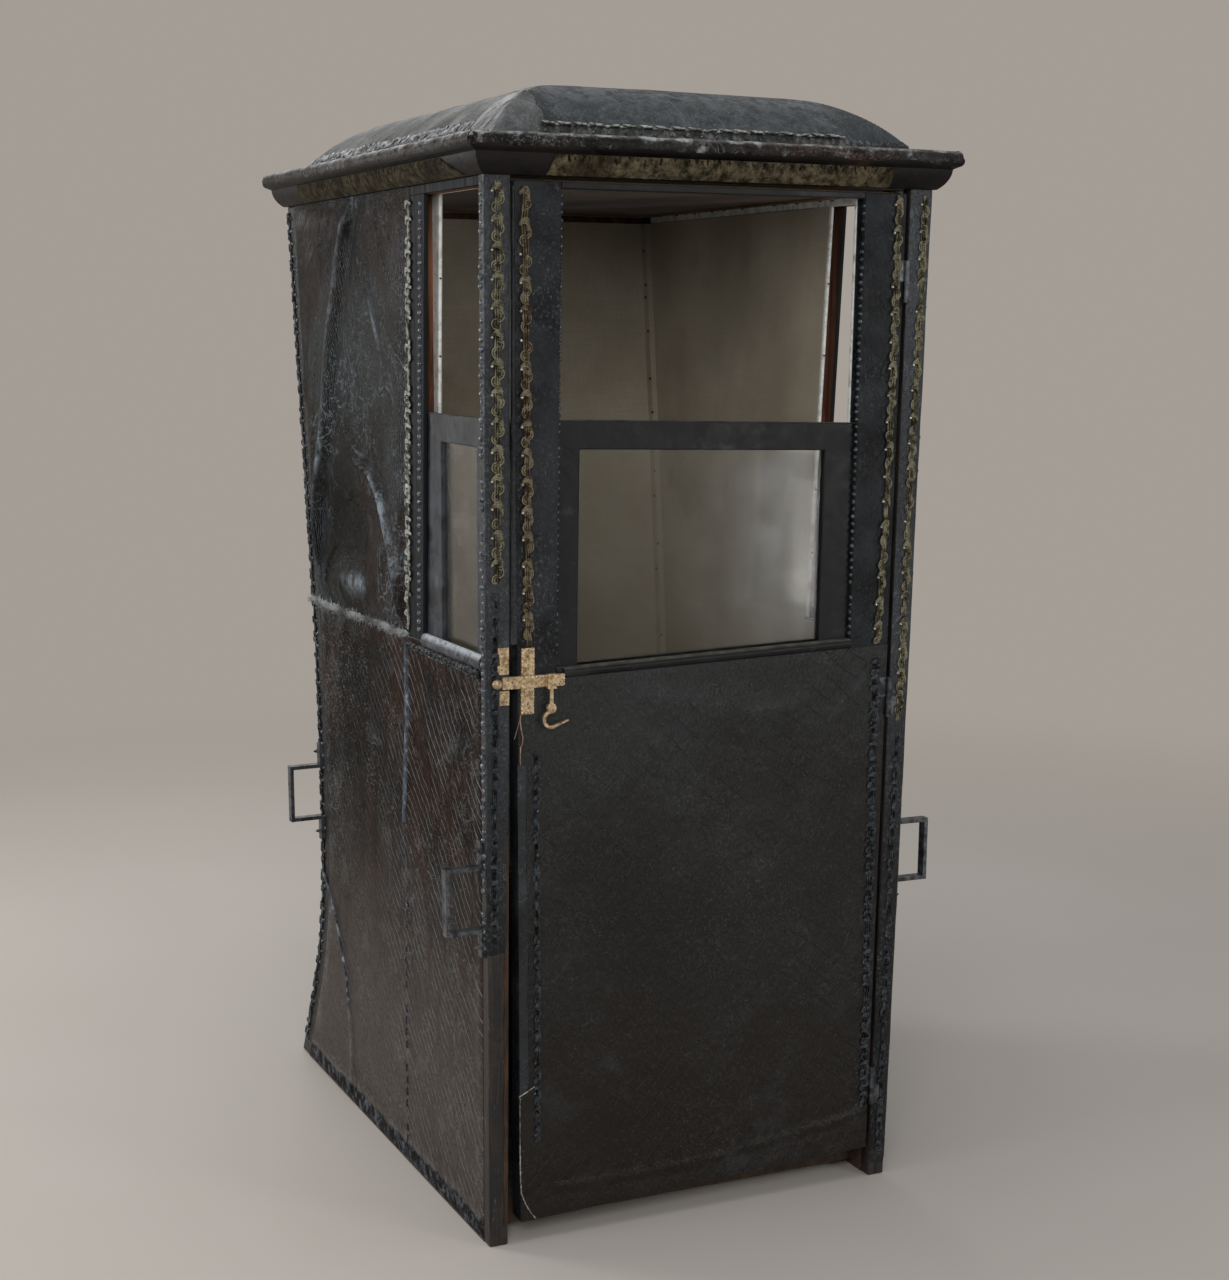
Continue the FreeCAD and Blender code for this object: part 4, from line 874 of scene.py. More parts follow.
FINISH = {  # by the solids' own material names
    "leather": HIDE_FRONT, "dome_leather": HIDE_DOME, "cornice_paint": CORNICE, "painted_wood": SASH_PAINT,
    "bare_wood": DARK_WOOD, "glass": GLASS, "iron": IRON, "brass": BRASS, "lining": SHADED_CEILING_LINEN,
}
SPECIAL = {  # nodes whose names start so
    "front_post": POST_WOOD, "jamb_post": JAMB, "side_top_rail": JAMB, "back_top_rail": RED_WOOD,
    "side_panel": SIDE_WALL, "quarter_panel": DARK_WOOD, "back_panel": DARK_WOOD, "door_stile": STILE,
    "door_bottom_rail": DARK_WOOD, "front_bottom_rail": DARK_WOOD, "seat_board": BARE_WOOD,
    "seat_riser": DARK_WOOD, "side_sash": SIDE_SASH,
}
BEVEL_MM = {  # nodes whose names start so
    "front_post": 2.5, "jamb_post": 2, "door_stile": 2.5, "door_top_rail": 1.5, "door_sash": 2.0, "side_sash": 2.0,
    "latch_bar": 0.6, "staple": 0.9, "seat": 2, "rear_post": 3, "side_top_rail": 1.0, "back_top_rail": 1.0,
}


def by_start(table, name):
    return next((value for key, value in table.items() if name.startswith(key)), None)


for name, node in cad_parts.items():
    slot_name = node.material_slots[0].material.name.split(".")[0] if node.material_slots else "leather"
    material = by_start(SPECIAL, name) or FINISH.get(slot_name, HIDE_FRONT)
    for k in range(len(node.data.materials)):
        node.data.materials[k] = material
    width_mm = by_start(BEVEL_MM, name)
    if width_mm:
        node.modifiers.new("weld", "WELD").merge_threshold = 0.00002
        bevel = node.modifiers.new("bevel", "BEVEL")
        bevel.width, bevel.segments = width_mm / 1000, 3
        bevel.limit_method, bevel.angle_limit = "ANGLE", radians(40)


# ---- places on the chair
post_inner = leaning(("front_post_right",), 0, lambda z: (0, front_y(z) + 0.003, z), (1, 0, 0))
jamb_y = leaning(("jamb_post_right",), 1, lambda z: (side_x(z) - 0.003, -0.4, z), (0, 1, 0), 0.9, 1.45)
JAMB_WIDE = 0.058
POST_DEEP = 0.0215  # a front post, along the side
REAR_DEEP = 0.0402  # a rear post and the joint beside it
LATCH_Z = 0.825  # the leather lies flat under the latch
door_left = leaning(("door_stile_left",), 0, lambda z: (-1, front_y(z) + 0.004, z), (1, 0, 0))
door_right = leaning(("door_stile_right",), 0, lambda z: (1, front_y(z) + 0.004, z), (-1, 0, 0))
# (x, s) along the lower edge of the door's leather, the sill above it and the leather's hem
DOOR_DROP = ((-0.281, 0.030), (0.296, 0.0485))
SILL_UNDER = ((-0.235, 0.823), (0.235, 0.837))
HEM = ((-0.29, 0.062), (-0.22, 0.077), (0.0, 0.077), (0.247, 0.103), (0.30, 0.112))


# ---- leather of the door
def door_front(u, v):
    left, right = (edge(0.03 + v * 0.79) for edge in (door_left, door_right))
    x = left + 0.001 + (right - left - 0.002) * u
    return on_front(x, lerp(sloped(DOOR_DROP, x) + 0.0005, sloped(SILL_UNDER, x) - 0.0008, v)), FRONT_OUT


DOOR_FOLDS = (  # places (x, s) along a fold of the leather, its width, height in mm and how much painted highlight it carries, painted shade where below zero
    (((-0.20, 0.815), (-0.09, 0.800), (0.063, 0.757), (0.150, 0.765), (0.226, 0.795)), 0.018, 2.4, 0.30),
    (((-0.16, 0.775), (-0.045, 0.735), (0.073, 0.702), (0.19, 0.728)), 0.018, -1.6, -0.40),
    (((0.275, 0.815), (0.250, 0.785), (0.226, 0.755), (0.160, 0.705)), 0.014, 2.0, 0.32),
    (((0.262, 0.720), (0.190, 0.640), (0.073, 0.490), (-0.02, 0.42)), 0.040, 1.9, 0.26),
    (((-0.10, 0.710), (-0.135, 0.665), (-0.190, 0.610), (-0.245, 0.570)), 0.026, 1.2, 0.18),
    (((0.20, 0.370), (0.110, 0.310), (0.027, 0.255), (-0.06, 0.21)), 0.030, 1.3, 0.16),
    (((-0.05, 0.62), (-0.11, 0.52), (-0.16, 0.40)), 0.030, -1.1, -0.30),
    (((0.27, 0.52), (0.20, 0.47), (0.12, 0.38)), 0.026, -1.1, -0.30),
    (((0.24, 0.16), (0.10, 0.135), (-0.06, 0.118)), 0.018, 1.2, 0.15),
)


def on_folds(x, s):
    """Height in metres of the door's folds at a place, and their painted highlight and shade."""
    height = pale = 0.0
    for rows, wide, tall, shade in DOOR_FOLDS:
        for k, (start, end) in enumerate(zip(rows, rows[1:])):
            t, off = beside(x, s, *start, *end)
            if 0 <= t < 1:
                run = (k + t) / (len(rows) - 1)
                hump = bell(off + 0.006 * wander(x * 14, s * 14, 2), 0, wide) * smooth(min(run, 1 - run), 0, 0.3)
                height += 0.001 * tall * hump
                pale += shade * hump
    return height, pale


def door_tint(point):
    # Painted highlight and shade: the folds' painted light, and crumpled light and dark marks just above the hem.
    s = point.z / cos(LEAN)
    crumple = bell(s, along(HEM, point.x) + 0.006, 0.022)
    crumple *= -0.20 + 0.60 * noise.noise(point * 60) + 0.75 * noise.noise(point * 150)
    return clip(on_folds(point.x, s)[1] + crumple)


def door_relief(u, v, point):
    x, s = point.x, point.z / cos(LEAN)
    inside = smooth(WINDOW_HALF - abs(x), -0.004, 0.09) * smooth(s, 0.10, 0.26) * smooth(0.84 - s, 0.02, 0.14)
    waves = rough(x * 3.1, s * 2.3, 4.2, 1.6, 4) * 0.0016 + on_folds(x, s)[0]
    crease = rough(x * 22, s * 5, 9.1) * 0.0005
    height = 0.0009 + 0.0032 * inside + (waves + crease) * (0.25 + 0.75 * inside)
    hem = along(HEM, x) + 0.0025 * wander(x * 24, 0, 3.7)
    if s < hem:
        height += 0.0011 * smooth(hem - s, 0, 0.004)
    height += 0.0016 * bell(s, hem + 0.006, 0.022) * wander(x * 55, 3, s * 55)
    height += 0.0026 * bell(s, hem, 0.0042) - 0.0009 * bell(s, hem - 0.013, 0.004)
    height -= 0.0006 * bell(abs(x), WINDOW_HALF + 0.003, 0.004) * smooth(s, 0.1, 0.16)
    height += 0.0008 * bell(s, sloped(DOOR_DROP, x) + 0.007, 0.005)
    if x < -0.23:
        height = min(height, 0.0013)
    return 0.0004 + max(0.0002, height) * edge_fade(u, v, 0.012)


skin("door_leather", door_front, 132, 172, door_relief, HIDE_FRONT, "door", "leather", tint=door_tint, under=4)


def turned_strip(u, v):
    s = lerp(0.2225 + 0.0125 * u, 0.705, v)
    wide = 0.0140 + 0.0022 * wander(0, s * 9, 1.3)
    return on_front(door_left(s) - 0.0008 + wide * u, s, 0.0012), FRONT_OUT


def strip_relief(u, v, point):
    body = 0.0012 * sin(pi * min(1, u * 1.15)) + 0.0011 * smooth(u, 0.55, 0.8) * smooth(1.02 - u, 0, 0.12)
    return 0.0003 + body + 0.0007 * rough(u * 2, point.z * 38, 6.6) * smooth(u, 0, 0.2)


skin("door_edge_strip", turned_strip, 8, 150, strip_relief, HIDE_TURNED, "door", "leather", 0.0004)


def lip_place(u, v):
    s = 0.874 + 0.612 * v
    wide = max(0.0022, min(0.0086, door_left(s) + post_inner(s) - 0.0026))
    return on_front(door_left(s) + 0.0012 - (wide + 0.0012) * u, s, -0.0016), FRONT_OUT


def lip_relief(u, v, point):
    body = 0.0004 + 0.0013 * bell(u, 0.86, 0.13) + 0.0009 * bell(u, 0.08, 0.08)
    return body + 0.0006 * rough(u * 1.5, point.z * 30, 2.6) * smooth(min(v, 1 - v), 0, 0.02)


skin("door_edge_lip", lip_place, 10, 170, lip_relief, HIDE_TURNED, "door", "leather", 0.0020)

TORN_EDGE = [(-0.0005, 0.219), (-0.0009, 0.16), (-0.0006, 0.097), (0.0008, 0.074), (0.0080, 0.056),
             (0.0150, 0.043), (0.0225, 0.0335)]  # how far in from the stile's edge, and s


def torn_path(t):
    place = t * (len(TORN_EDGE) - 1)
    k = min(int(place), len(TORN_EDGE) - 2)
    off, s = (lerp(a, b, place - k) for a, b in zip(TORN_EDGE[k], TORN_EDGE[k + 1]))
    return on_front(door_left(s) + off + 0.0004 * wander(0, s * 90, 2), s, 0.0016), FRONT_OUT


torn = Shape()
torn.add(*tube(line_of(torn_path, 70), [FRONT_OUT] * 71, 0.0008, 5, 2, 700))
torn.add(*tube([on_front(-0.2872 + 0.0243 * k / 12, 0.2215 + 0.0125 * k / 12, 0.0030) for k in range(13)],
               [FRONT_OUT] * 13, 0.0009, 5, 2, 700))
fibres(torn, torn_path, 70, 0.004, 3)
torn.make("door_torn_edge", GREY_GIMP, "door", "leather")


# ---- leather of the sides
# (z, y) along the lower wall's seam and arc, and along the quarter's long fold and brow
SEAM = ((0.838, -0.1254), (0.716, -0.1224), (0.589, -0.1056), (0.548, -0.0985), (0.481, -0.1100), (0.432, -0.1052),
        (0.301, -0.0926), (0.170, -0.0893), (0.0, -0.086))
ARC = ((0.46, 0.46), (0.3868, 0.3539), (0.3256, 0.2790), (0.2733, 0.2442), (0.2144, 0.2130), (0.1119, 0.1968),
       (0.0486, 0.2017), (0.0, 0.204))
FOLD = ((1.487, 0.094), (1.404, 0.136), (1.311, 0.180), (1.248, 0.2116), (1.150, 0.236), (1.016, 0.292),
        (0.877, 0.3385), (0.84, 0.345))
BROW = ((1.11, 0.10), (1.092, 0.0747), (1.076, 0.0123), (1.048, -0.0334), (1.012, -0.0543), (0.976, -0.075),
        (0.911, -0.1074), (0.84, -0.125))
CREASES = (  # ends of a crease (y, z, y, z) and how strong it is
    (-0.017, 1.482, -0.113, 1.355, 1.5), (-0.062, 1.472, -0.126, 1.412, 1.2), (0.168, 1.327, 0.047, 1.266, 1.3),
    (0.12, 1.38, 0.03, 1.20, 1.2), (0.09, 1.33, -0.02, 1.15, 1.1), (0.03, 1.42, -0.09, 1.20, 1.4),
    (-0.03, 1.38, -0.12, 1.24, 1.0), (0.18, 1.22, 0.10, 1.10, 1.2), (0.14, 1.14, 0.02, 1.10, 1.6),
    (0.26, 1.30, 0.31, 1.05, 1.4), (0.30, 1.36, 0.34, 1.12, 1.0), (0.10, 1.05, 0.20, 0.98, 1.4),
    (0.24, 1.46, 0.22, 1.34, 1.0), (-0.06, 1.00, -0.02, 0.90, 1.2), (0.06, 0.98, 0.05, 0.88, 1.1),
    (0.20, 0.96, 0.27, 0.88, 1.4), (-0.10, 1.16, -0.13, 1.02, 1.0), (0.17, 1.45, 0.20, 1.36, 1.2),
)


def lower_side(sign):
    def place(u, v):
        z = 0.003 + (BELT - 0.0045) * v
        near, far = front_y(z) + POST_DEEP + 0.0007, rear_y(z) - REAR_DEEP
        y = near + (far - near) * u
        z -= 0.0070 * smooth(v, 0.9, 1) * smooth(jamb_y(BELT) + 0.001 - y, -0.004, 0)
        return on_side(sign, y, z), vec(sign, 0, 0)
    return place


def lower_relief(u, v, point):
    y, z = point.y, point.z
    seam = along(SEAM, z)
    height = 0.0012 + 0.0013 * rough(3.3, y * 2.2, z * 2.2, 1.3, 4)
    height += (0.0022 * smooth(z, 0.52, 0.57) + 0.0007) * bell(y, seam, 0.0085)
    arc = along(ARC, z)
    below = smooth(0.45 - z, 0, 0.06)
    height += 0.0016 * smooth(y - arc, -0.004, 0.004) * below + 0.0012 * below * bell(y, arc, 0.006)
    slant = 0.92 * y - 0.38 * z + 0.012 * wander(0, y * 4, z * 3)
    band = 1 - abs(((slant / 0.0265) % 1.0) - 0.5) * 2
    mask = smooth(-y, 0.06, 0.16) * smooth(wander(1, y * 5, z * 4), -0.35, 0.1)
    height += 0.0009 * band ** 4 * mask + 0.0003 * rough(slant * 240, y * 12, z * 12, 1.0, 2)
    height += 0.0011 * smooth(0.055 - z, 0, 0.02) * (1 + 0.8 * wander(0, y * 40, z * 40))
    return 0.0004 + max(0.0003, height) * edge_fade(u, v, 0.014)


def upper_side(sign):
    def place(u, v):
        z = BELT + 0.001 + (TOP_EDGE - BELT - 0.001) * v
        near, far = jamb_y(z) + JAMB_WIDE + 0.0005, rear_y(z) - REAR_DEEP
        return on_side(sign, near + (far - near) * u, z), vec(sign, 0, 0)
    return place


def upper_relief(seed):
    def relief(u, v, point):
        y, z = point.y, point.z
        wobble = 0.012 * wander(seed, y * 6, z * 6)
        height = 0.0070 + 0.0026 * rough(seed, y * 4.5, z * 3.2, 1.1, 4)
        fold = along(FOLD, z) + wobble
        height += 0.0075 * bell(y, fold, 0.017) + 0.0030 * smooth(y - fold, -0.03, 0.01)
        height -= 0.0042 * bell(y, fold - 0.036, 0.018)
        brow = along(BROW, z) + wobble * 0.5
        height += smooth(1.115 - z, 0.0, 0.03) * (0.0085 * bell(y, brow, 0.013) - 0.0030 * bell(y, brow + 0.03, 0.014))
        height -= 0.0110 * bell(hypot((y - 0.15) / 0.105, (z - 0.985) / 0.060), 0, 1.0)
        height += 0.0052 * bell(hypot((y - 0.10) / 0.085, (z - 0.900) / 0.024), 0, 1.0)
        for y1, z1, y2, z2, tall in CREASES:
            t, off = beside(y, z, y1, z1, y2, z2)
            if -0.1 < t < 1.1:
                off += 0.010 * sin(pi * clip(t, 0)) + wobble * 0.4
                fade = smooth(min(t, 1 - t), -0.1, 0.25)
                height += tall * fade * (0.0015 * bell(off, 0, 0.0036) - 0.0009 * bell(off, 0.009, 0.005))
        height += 0.0016 * sin(y * 150 + 6 * wander(0, y * 20, 1)) * smooth(0.905 - z, 0, 0.04)
        height += 0.0009 * rough(seed + 5, y * 26, z * 15, 1.0, 4)
        return 0.0006 + max(0.0002, height) * edge_fade(u, v, 0.07)
    return relief


QUARTER_LIGHT_AND_SHADE = (  # painted highlight (+) and painted shade (-) on the quarter: y, z, half width, half height, how much
    (0.150, 0.985, 0.105, 0.062, -1.3), (0.260, 0.925, 0.050, 0.055, -1.2), (0.105, 0.905, 0.110, 0.028, 0.80),
    (0.030, 1.085, 0.060, 0.036, 0.30), (-0.020, 1.300, 0.045, 0.060, 0.22), (0.100, 1.190, 0.090, 0.050, -0.60),
    (-0.060, 1.120, 0.035, 0.030, -0.30), (0.020, 1.020, 0.050, 0.030, 0.30), (0.080, 1.350, 0.040, 0.080, -0.30),
    (0.280, 1.330, 0.060, 0.120, 0.12), (-0.095, 0.940, 0.020, 0.050, 0.45), (0.010, 0.900, 0.030, 0.022, -0.45),
)


def quarter_tint(point):
    # Painted highlight along the fold, the brow and the creases, painted shade beside them, and the spots listed in
    # QUARTER_LIGHT_AND_SHADE.
    y, z = point.y, point.z
    wobble = 0.012 * wander(3, y * 6, z * 6)
    brow, fold = along(BROW, z) + wobble, along(FOLD, z) + wobble
    tint = 0.55 * bell(y, fold, 0.013) - 0.40 * bell(y, fold - 0.040, 0.024)
    tint += 0.95 * bell(y, brow, 0.011) * bell(z, 1.025, 0.055) * smooth(1.118 - z, 0, 0.02)
    tint -= 0.35 * bell(y, brow + 0.032, 0.014) * bell(z, 1.0, 0.07)
    for mid_y, mid_z, wide, tall, much in QUARTER_LIGHT_AND_SHADE:
        tint += much * bell(hypot((y - mid_y) / wide, (z - mid_z) / tall), 0, 1)
    for y1, z1, y2, z2, tall in CREASES:
        t, off = beside(y, z, y1, z1, y2, z2)
        if 0 < t < 1:
            off += 0.010 * sin(pi * t) + wobble * 0.4
            tint += 0.22 * tall * bell(off, 0, 0.0026) * smooth(min(t, 1 - t), 0, 0.3)
    return clip(tint * (1 + 0.5 * wander(1, y * 30, z * 30)))


for hand, sign in HANDS:
    skin("side_leather_" + hand, lower_side(sign), 120, 140, lower_relief, HIDE_SIDE, "chair", "leather",
         under=4)
    skin("quarter_leather_" + hand, upper_side(sign), 112, 132, upper_relief(2.0 + sign), HIDE_QUARTER, "chair",
         "leather", tint=quarter_tint, under=4)
    out = vec(sign, 0, 0)
    rolls = Shape()
    for rows, low, high, thick, flat in ((SEAM, 0.552, 0.836, 0.0078, 0.55), (ARC, 0.165, 0.374, 0.0034, 1.0)):
        line = []
        for k in range(91):
            z = lerp(low, high, k / 90)
            sway = 0.0026 * wander(k * 0.23, sign, thick * 900)
            lift = 0.0022 + 0.0007 * wander(k * 0.6, sign, thick * 900)
            line.append(on_side(sign, along(rows, z) + sway, z, lift))
        points, faces = tube(line, [out] * 91, thick * 0.9, 8, 0, 0, flat)
        # Noise varies the painted highlight along the rolls.
        rolls.add(points, faces, [clip(1.4 * noise.noise(p * 90) + 0.25) for p in points])
    for k in range(27):
        z = 0.535 - 0.0195 * k
        start, end = along(SEAM, z), along(SEAM, z - 0.012)
        stitch = [on_side(sign, lerp(start, end, t) + 0.0018 * sin(k * 2.1), z - 0.012 * t,
                          0.0034 + 0.0008 * sin(pi * t)) for t in (0, 0.33, 0.66, 1)]
        if k % 5 != 3:
            rolls.add(*tube(stitch, [out] * 4, 0.0012, 6, 0))
    rolls.make("side_rolls_" + hand, HIDE_ROLL_PAINTED_HIGHLIGHT, "chair", "leather")


# ---- leather round the front posts
def sleeve(sign, low, seed):
    """From the post's rear edge on the side, round its corner and over its front face."""
    turn = 0.003

    def place(u, v):
        edge_z = low + 0.0035 * wander(seed, u * 3, 0)
        z = edge_z + (TOP_EDGE - edge_z) * v
        side_run, arc_run = POST_DEEP - turn, turn * pi / 2
        front_run = side_x(z) - post_inner(z) - turn - 0.0005
        t = u * (side_run + arc_run + front_run)
        x_side, y_front = side_x(z), front_y(z)
        if t < side_run:
            return vec(sign * x_side, y_front + POST_DEEP - t, z), vec(sign, 0, 0)
        if t < side_run + arc_run:
            angle = (t - side_run) / turn
            out = vec(sign * cos(angle), -sin(angle), 0)
            return vec(sign * (x_side - turn), y_front + turn, z) + out * turn, out
        return vec(sign * (x_side - turn - (t - side_run - arc_run)), y_front, z), vec(0, -1, 0)

    def relief(u, v, point):
        height = 0.0012 + 0.0007 * rough(point.x * 60, point.y * 60, point.z * 7)
        latch = smooth(abs(point.z - LATCH_Z), 0.048, 0.060) if sign < 0 and point.y < front_y(point.z) + 0.002 else 1
        return 0.0003 + max(0.0002, height * latch) * smooth(min(u, 1 - u), 0, 0.08) * smooth(
            min(v, 1.02 - v), 0, 0.006)

    return place, relief


for hand, sign, low in (("left", -1, 0.436), ("right", 1, 0.02)):
    place, relief = sleeve(sign, low, sign * 3.0)
    skin("post_leather_" + hand, place, 22, 160, relief, HIDE_POST, "chair", "leather", 0.0006)


def torn_place(u, v):
    z = 0.030 + 0.575 * v
    x = post_inner(z) + 0.0006 + (0.0062 + 0.0022 * wander(z * 26, 3, 1)) * u
    return vec(-x, front_y(z), z), FRONT_OUT


def torn_relief(u, v, point):
    return 0.0014 + 0.0010 * rough(point.x * 220, 0, point.z * 16, 1.0, 4)


skin("post_torn_edge", torn_place, 6, 190, torn_relief, TORN_WOOD, "chair", "bare_wood", 0.0008,
     lambda point: noise.noise(point * 60))


# ---- leather of the back
def back_face(u, v):
    z = 0.003 + (WALL_TOP - 0.006) * v
    half = side_x(z) - 0.001
    slope_y = (rear_y(z + 0.004) - rear_y(z - 0.004)) / 0.008
    return vec(half * (2 * u - 1), rear_y(z), z), vec(0, 1, -slope_y).normalized()


def back_relief(u, v, point):
    x, z = point.x, point.z
    height = 0.0012 + 0.0014 * rough(x * 2.4, 8.0, z * 2.0, 1.3, 4)
    height += 0.0004 * rough(x * 30, 5.0, z * 9)
    height += 0.0016 * bell(z, BELT, 0.006) + 0.0010 * bell(x, 0.012 * wander(z * 3, 0, 0), 0.005)
    height += 0.0010 * bell(z, 0.052, 0.005)
    if z > 1.44:
        height = min(height, 0.0013)
    return 0.0004 + max(0.0003, height) * edge_fade(u, v, 0.012)


skin("back_leather", back_face, 92, 168, back_relief, HIDE_BACK, "chair", "leather", under=4)


# ---- leather of the dome
ROOF_LOW, ROOF_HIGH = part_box("roof_dome")
DOME_X, DOME_Y = (ROOF_HIGH[0] - ROOF_LOW[0]) / 2, (ROOF_HIGH[1] - ROOF_LOW[1]) / 2
DOME_MID_Y = (ROOF_HIGH[1] + ROOF_LOW[1]) / 2
DOME_FOOT = ROOF_LOW[2]
EAVE_RUN, EAVE_RISE, EAVE_RADIUS, CROWN_RISE = 0.125, 0.080, 0.200, 0.020


def eave_height(run, half):
    """Height of the dome's profile above its foot, at a distance in from its edge."""
    if run < EAVE_RUN:
        chord = hypot(EAVE_RUN, EAVE_RISE)
        far = sqrt(EAVE_RADIUS ** 2 - chord ** 2 / 4)
        mid_x, mid_z = EAVE_RUN / 2 + EAVE_RISE / chord * far, EAVE_RISE / 2 - EAVE_RUN / chord * far
        return mid_z + sqrt(EAVE_RADIUS ** 2 - (run - mid_x) ** 2)
    width = half - EAVE_RUN
    radius = (width ** 2 + CROWN_RISE ** 2) / (2 * CROWN_RISE)
    return EAVE_RISE + sqrt(radius ** 2 - (half - run) ** 2) - (radius - CROWN_RISE)


def dome_point(x, y):
    heights = [eave_height(max(0.0, DOME_X - abs(x)), DOME_X), eave_height(max(0.0, DOME_Y - abs(y)), DOME_Y)]
    low, high = min(heights), max(heights)
    soft = 0.0035
    gap = (high - low) / soft
    z = low - (soft * exp(-gap) * 0.35 if gap < 20 else 0)
    return vec(x, DOME_MID_Y + y, DOME_FOOT + max(z, 0))


def dome_out(x, y):
    step = 0.002
    x0, x1 = max(x - step, -DOME_X), min(x + step, DOME_X)
    y0, y1 = max(y - step, -DOME_Y), min(y + step, DOME_Y)
    rise_x = (dome_point(x1, y).z - dome_point(x0, y).z) / (x1 - x0)
    rise_y = (dome_point(x, y1).z - dome_point(x, y0).z) / (y1 - y0)
    return vec(-rise_x, -rise_y, 1).normalized()


def on_dome(x, y, lift=0.0):
    """A point over the dome and the way out of it, from x and y off its middle."""
    out = dome_out(x, y)
    return dome_point(x, y) + out * lift, out


def dome_place(u, v):
    return on_dome(DOME_X * sin((u - 0.5) * pi), DOME_Y * sin((v - 0.5) * pi))


def dome_relief(u, v, point):
    x, y = point.x, point.y
    near = min(DOME_X - abs(x), DOME_Y - abs(y - DOME_MID_Y))
    height = 0.0016 + 0.0013 * rough(x * 3, y * 3, 1.7, 1.2, 4)
    height += 0.0006 * rough(x * 16, y * 16, 2.9) * smooth(0.10 - near, 0, 0.08)
    return max(0.0006, height)


def dome_tint(point):
    # Painted highlight along the front crest and the front slope, painted shade on the left and right slopes.
    crest_highlight = bell(point.y - DOME_MID_Y + DOME_Y, 0.12, 0.05)
    return 0.3 * crest_highlight + 0.32 * smooth(-0.30 - point.y, 0, 0.06) - 0.75 * smooth(-point.x, 0.220, 0.270) - (
        0.3 * smooth(point.x, 0.2, 0.3))


skin("dome_leather", dome_place, 112, 144, dome_relief, HIDE_DOME, "roof", "dome_leather", 0.001, dome_tint, 4)


PATCH_X = 0.247  # the inner edge of the patch on the left front corner


def patch_place(u, v):
    ragged = 0.004 * wander(u * 7, v * 7, 5)
    return on_dome(-DOME_X + (DOME_X - PATCH_X + ragged) * u, -DOME_Y + (0.108 + ragged) * v)


def patch_relief(u, v, point):
    lift = 0.0042 + 0.0014 * rough(point.x * 26, point.y * 26, 3, 1.0, 4)
    return lift + 0.0012 * smooth(u, 0.9, 1.0)


def patch_tint(point):
    edge = smooth(point.x, -PATCH_X - 0.015, -PATCH_X) + 0.5 * smooth(point.y, -0.372, -0.360)
    return 0.9 * wander(point.x * 34, point.y * 34, point.z * 34) - 0.9 * edge


skin("dome_patch", patch_place, 46, 56, patch_relief, HIDE_PATCH, "roof", "dome_leather", -0.0012, patch_tint)


# ---- pinked strips at the foot of the dome
PINK = 0.0115


def dome_edge(side, place, run):
    """x and y off the dome's middle at a place along one edge, a run in from it."""
    if side in "fb":
        return place, SIGN[side] * (DOME_Y - run)
    return SIGN[side] * (DOME_X - run), place - DOME_MID_Y


def tooth(t):
    return 0.5 + 0.5 * cos(2 * pi * t / PINK)


def foot_strip(side, start, end, seed, ruin):
    """Scalloped strip on the dome's edge. side is a letter: f front, b back, l left, r right."""
    def place(u, v):
        t = lerp(start, end, u)
        wear = ruin * (0.5 + wander(t * 26, seed, 0))
        top = 0.0095 + 0.0035 * tooth(t) - 0.006 * max(0, wear) + 0.0015 * wander(t * 160, seed, 4)
        return on_dome(*dome_edge(side, t, 0.0006 + max(top, 0.003) * v))

    def relief(u, v, point):
        t = lerp(start, end, u)
        return 0.0030 + 0.0022 * tooth(t) * sin(pi * min(1, v * 1.05)) + 0.0009 * wander(t * 300, v * 3, seed)

    return place, relief


for name, side, start, end, seed, ruin, look in (
        ("front", "f", -0.2560, 0.2190, 1.0, 0.9, STRIP_GREY), ("front_end", "f", 0.2195, 0.318, 6.0, 1.0, BLACK_GIMP),
        ("back", "b", -0.318, 0.318, 2.0, 0.4, BLACK_GIMP), ("left", "l", -0.350, 0.418, 3.0, 0.25, BLACK_GIMP),
        ("right", "r", -0.430, 0.418, 4.0, 0.35, BLACK_GIMP)):
    place, relief = foot_strip(side, start, end, seed, ruin)
    skin("dome_strip_" + name, place, int((end - start) / 0.0019), 5, relief, look, "roof", "braid", -0.0015)


def dome_loops(t):
    point, out = on_dome(-0.2540 + 0.470 * t, -DOME_Y + 0.0125, 0.0012)
    return point, vec(0, -1, 0), out


gimp("dome_gimp_front", dome_loops, 0.470, 0.019, 0.024, PALE_STRIP, "roof", "braid", 51, 0.0019, 0.6, 260,
     backed=False)


def crumpled(side, start, end, seed):
    """Strip of old leather pressed against the foot of the dome, in small tight folds."""
    strip = foot_strip(side, start, end, seed, 0)[0]

    def place(u, v):
        press = 0.021 * (1 + 0.35 * wander(u * 60, seed, 2)) * (v - 0.05)
        point = strip(u, 0.15)[0]
        x = point.x - (press * SIGN[side] if side in "lr" else 0)
        return on_dome(x, point.y - DOME_MID_Y - (press if side == "b" else 0))

    def fold(point):
        x, y = point.x, point.y
        return wander(x * 120 + seed, y * 120, 1) + 0.5 * wander(x * 260, y * 260, seed)

    def relief(u, v, point):
        return 0.0030 + 0.0026 * smooth(min(v, 1 - v), 0, 0.2) * max(-0.7, fold(point))

    # The tint follows the folds' height: painted highlight on their tops, painted shade between them.
    return place, relief, lambda point: clip(1.6 * fold(point) + 0.1)


for name, side, start, end, seed in (("left", "l", -0.330, 0.412, 3.0), ("right", "r", -0.400, 0.412, 4.0),
                                     ("back", "b", -0.300, 0.300, 5.0)):
    place, relief, tint = crumpled(side, start, end, seed)
    skin("dome_folds_" + name, place, int((end - start) / 0.0032), 8, relief, HIDE_CRUMPLE_PAINTED_HIGHLIGHT, "roof", "dome_leather",
         -0.0012, tint)


# ---- cracked paint on the bead of the cornice
CORNICE_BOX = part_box("cornice")


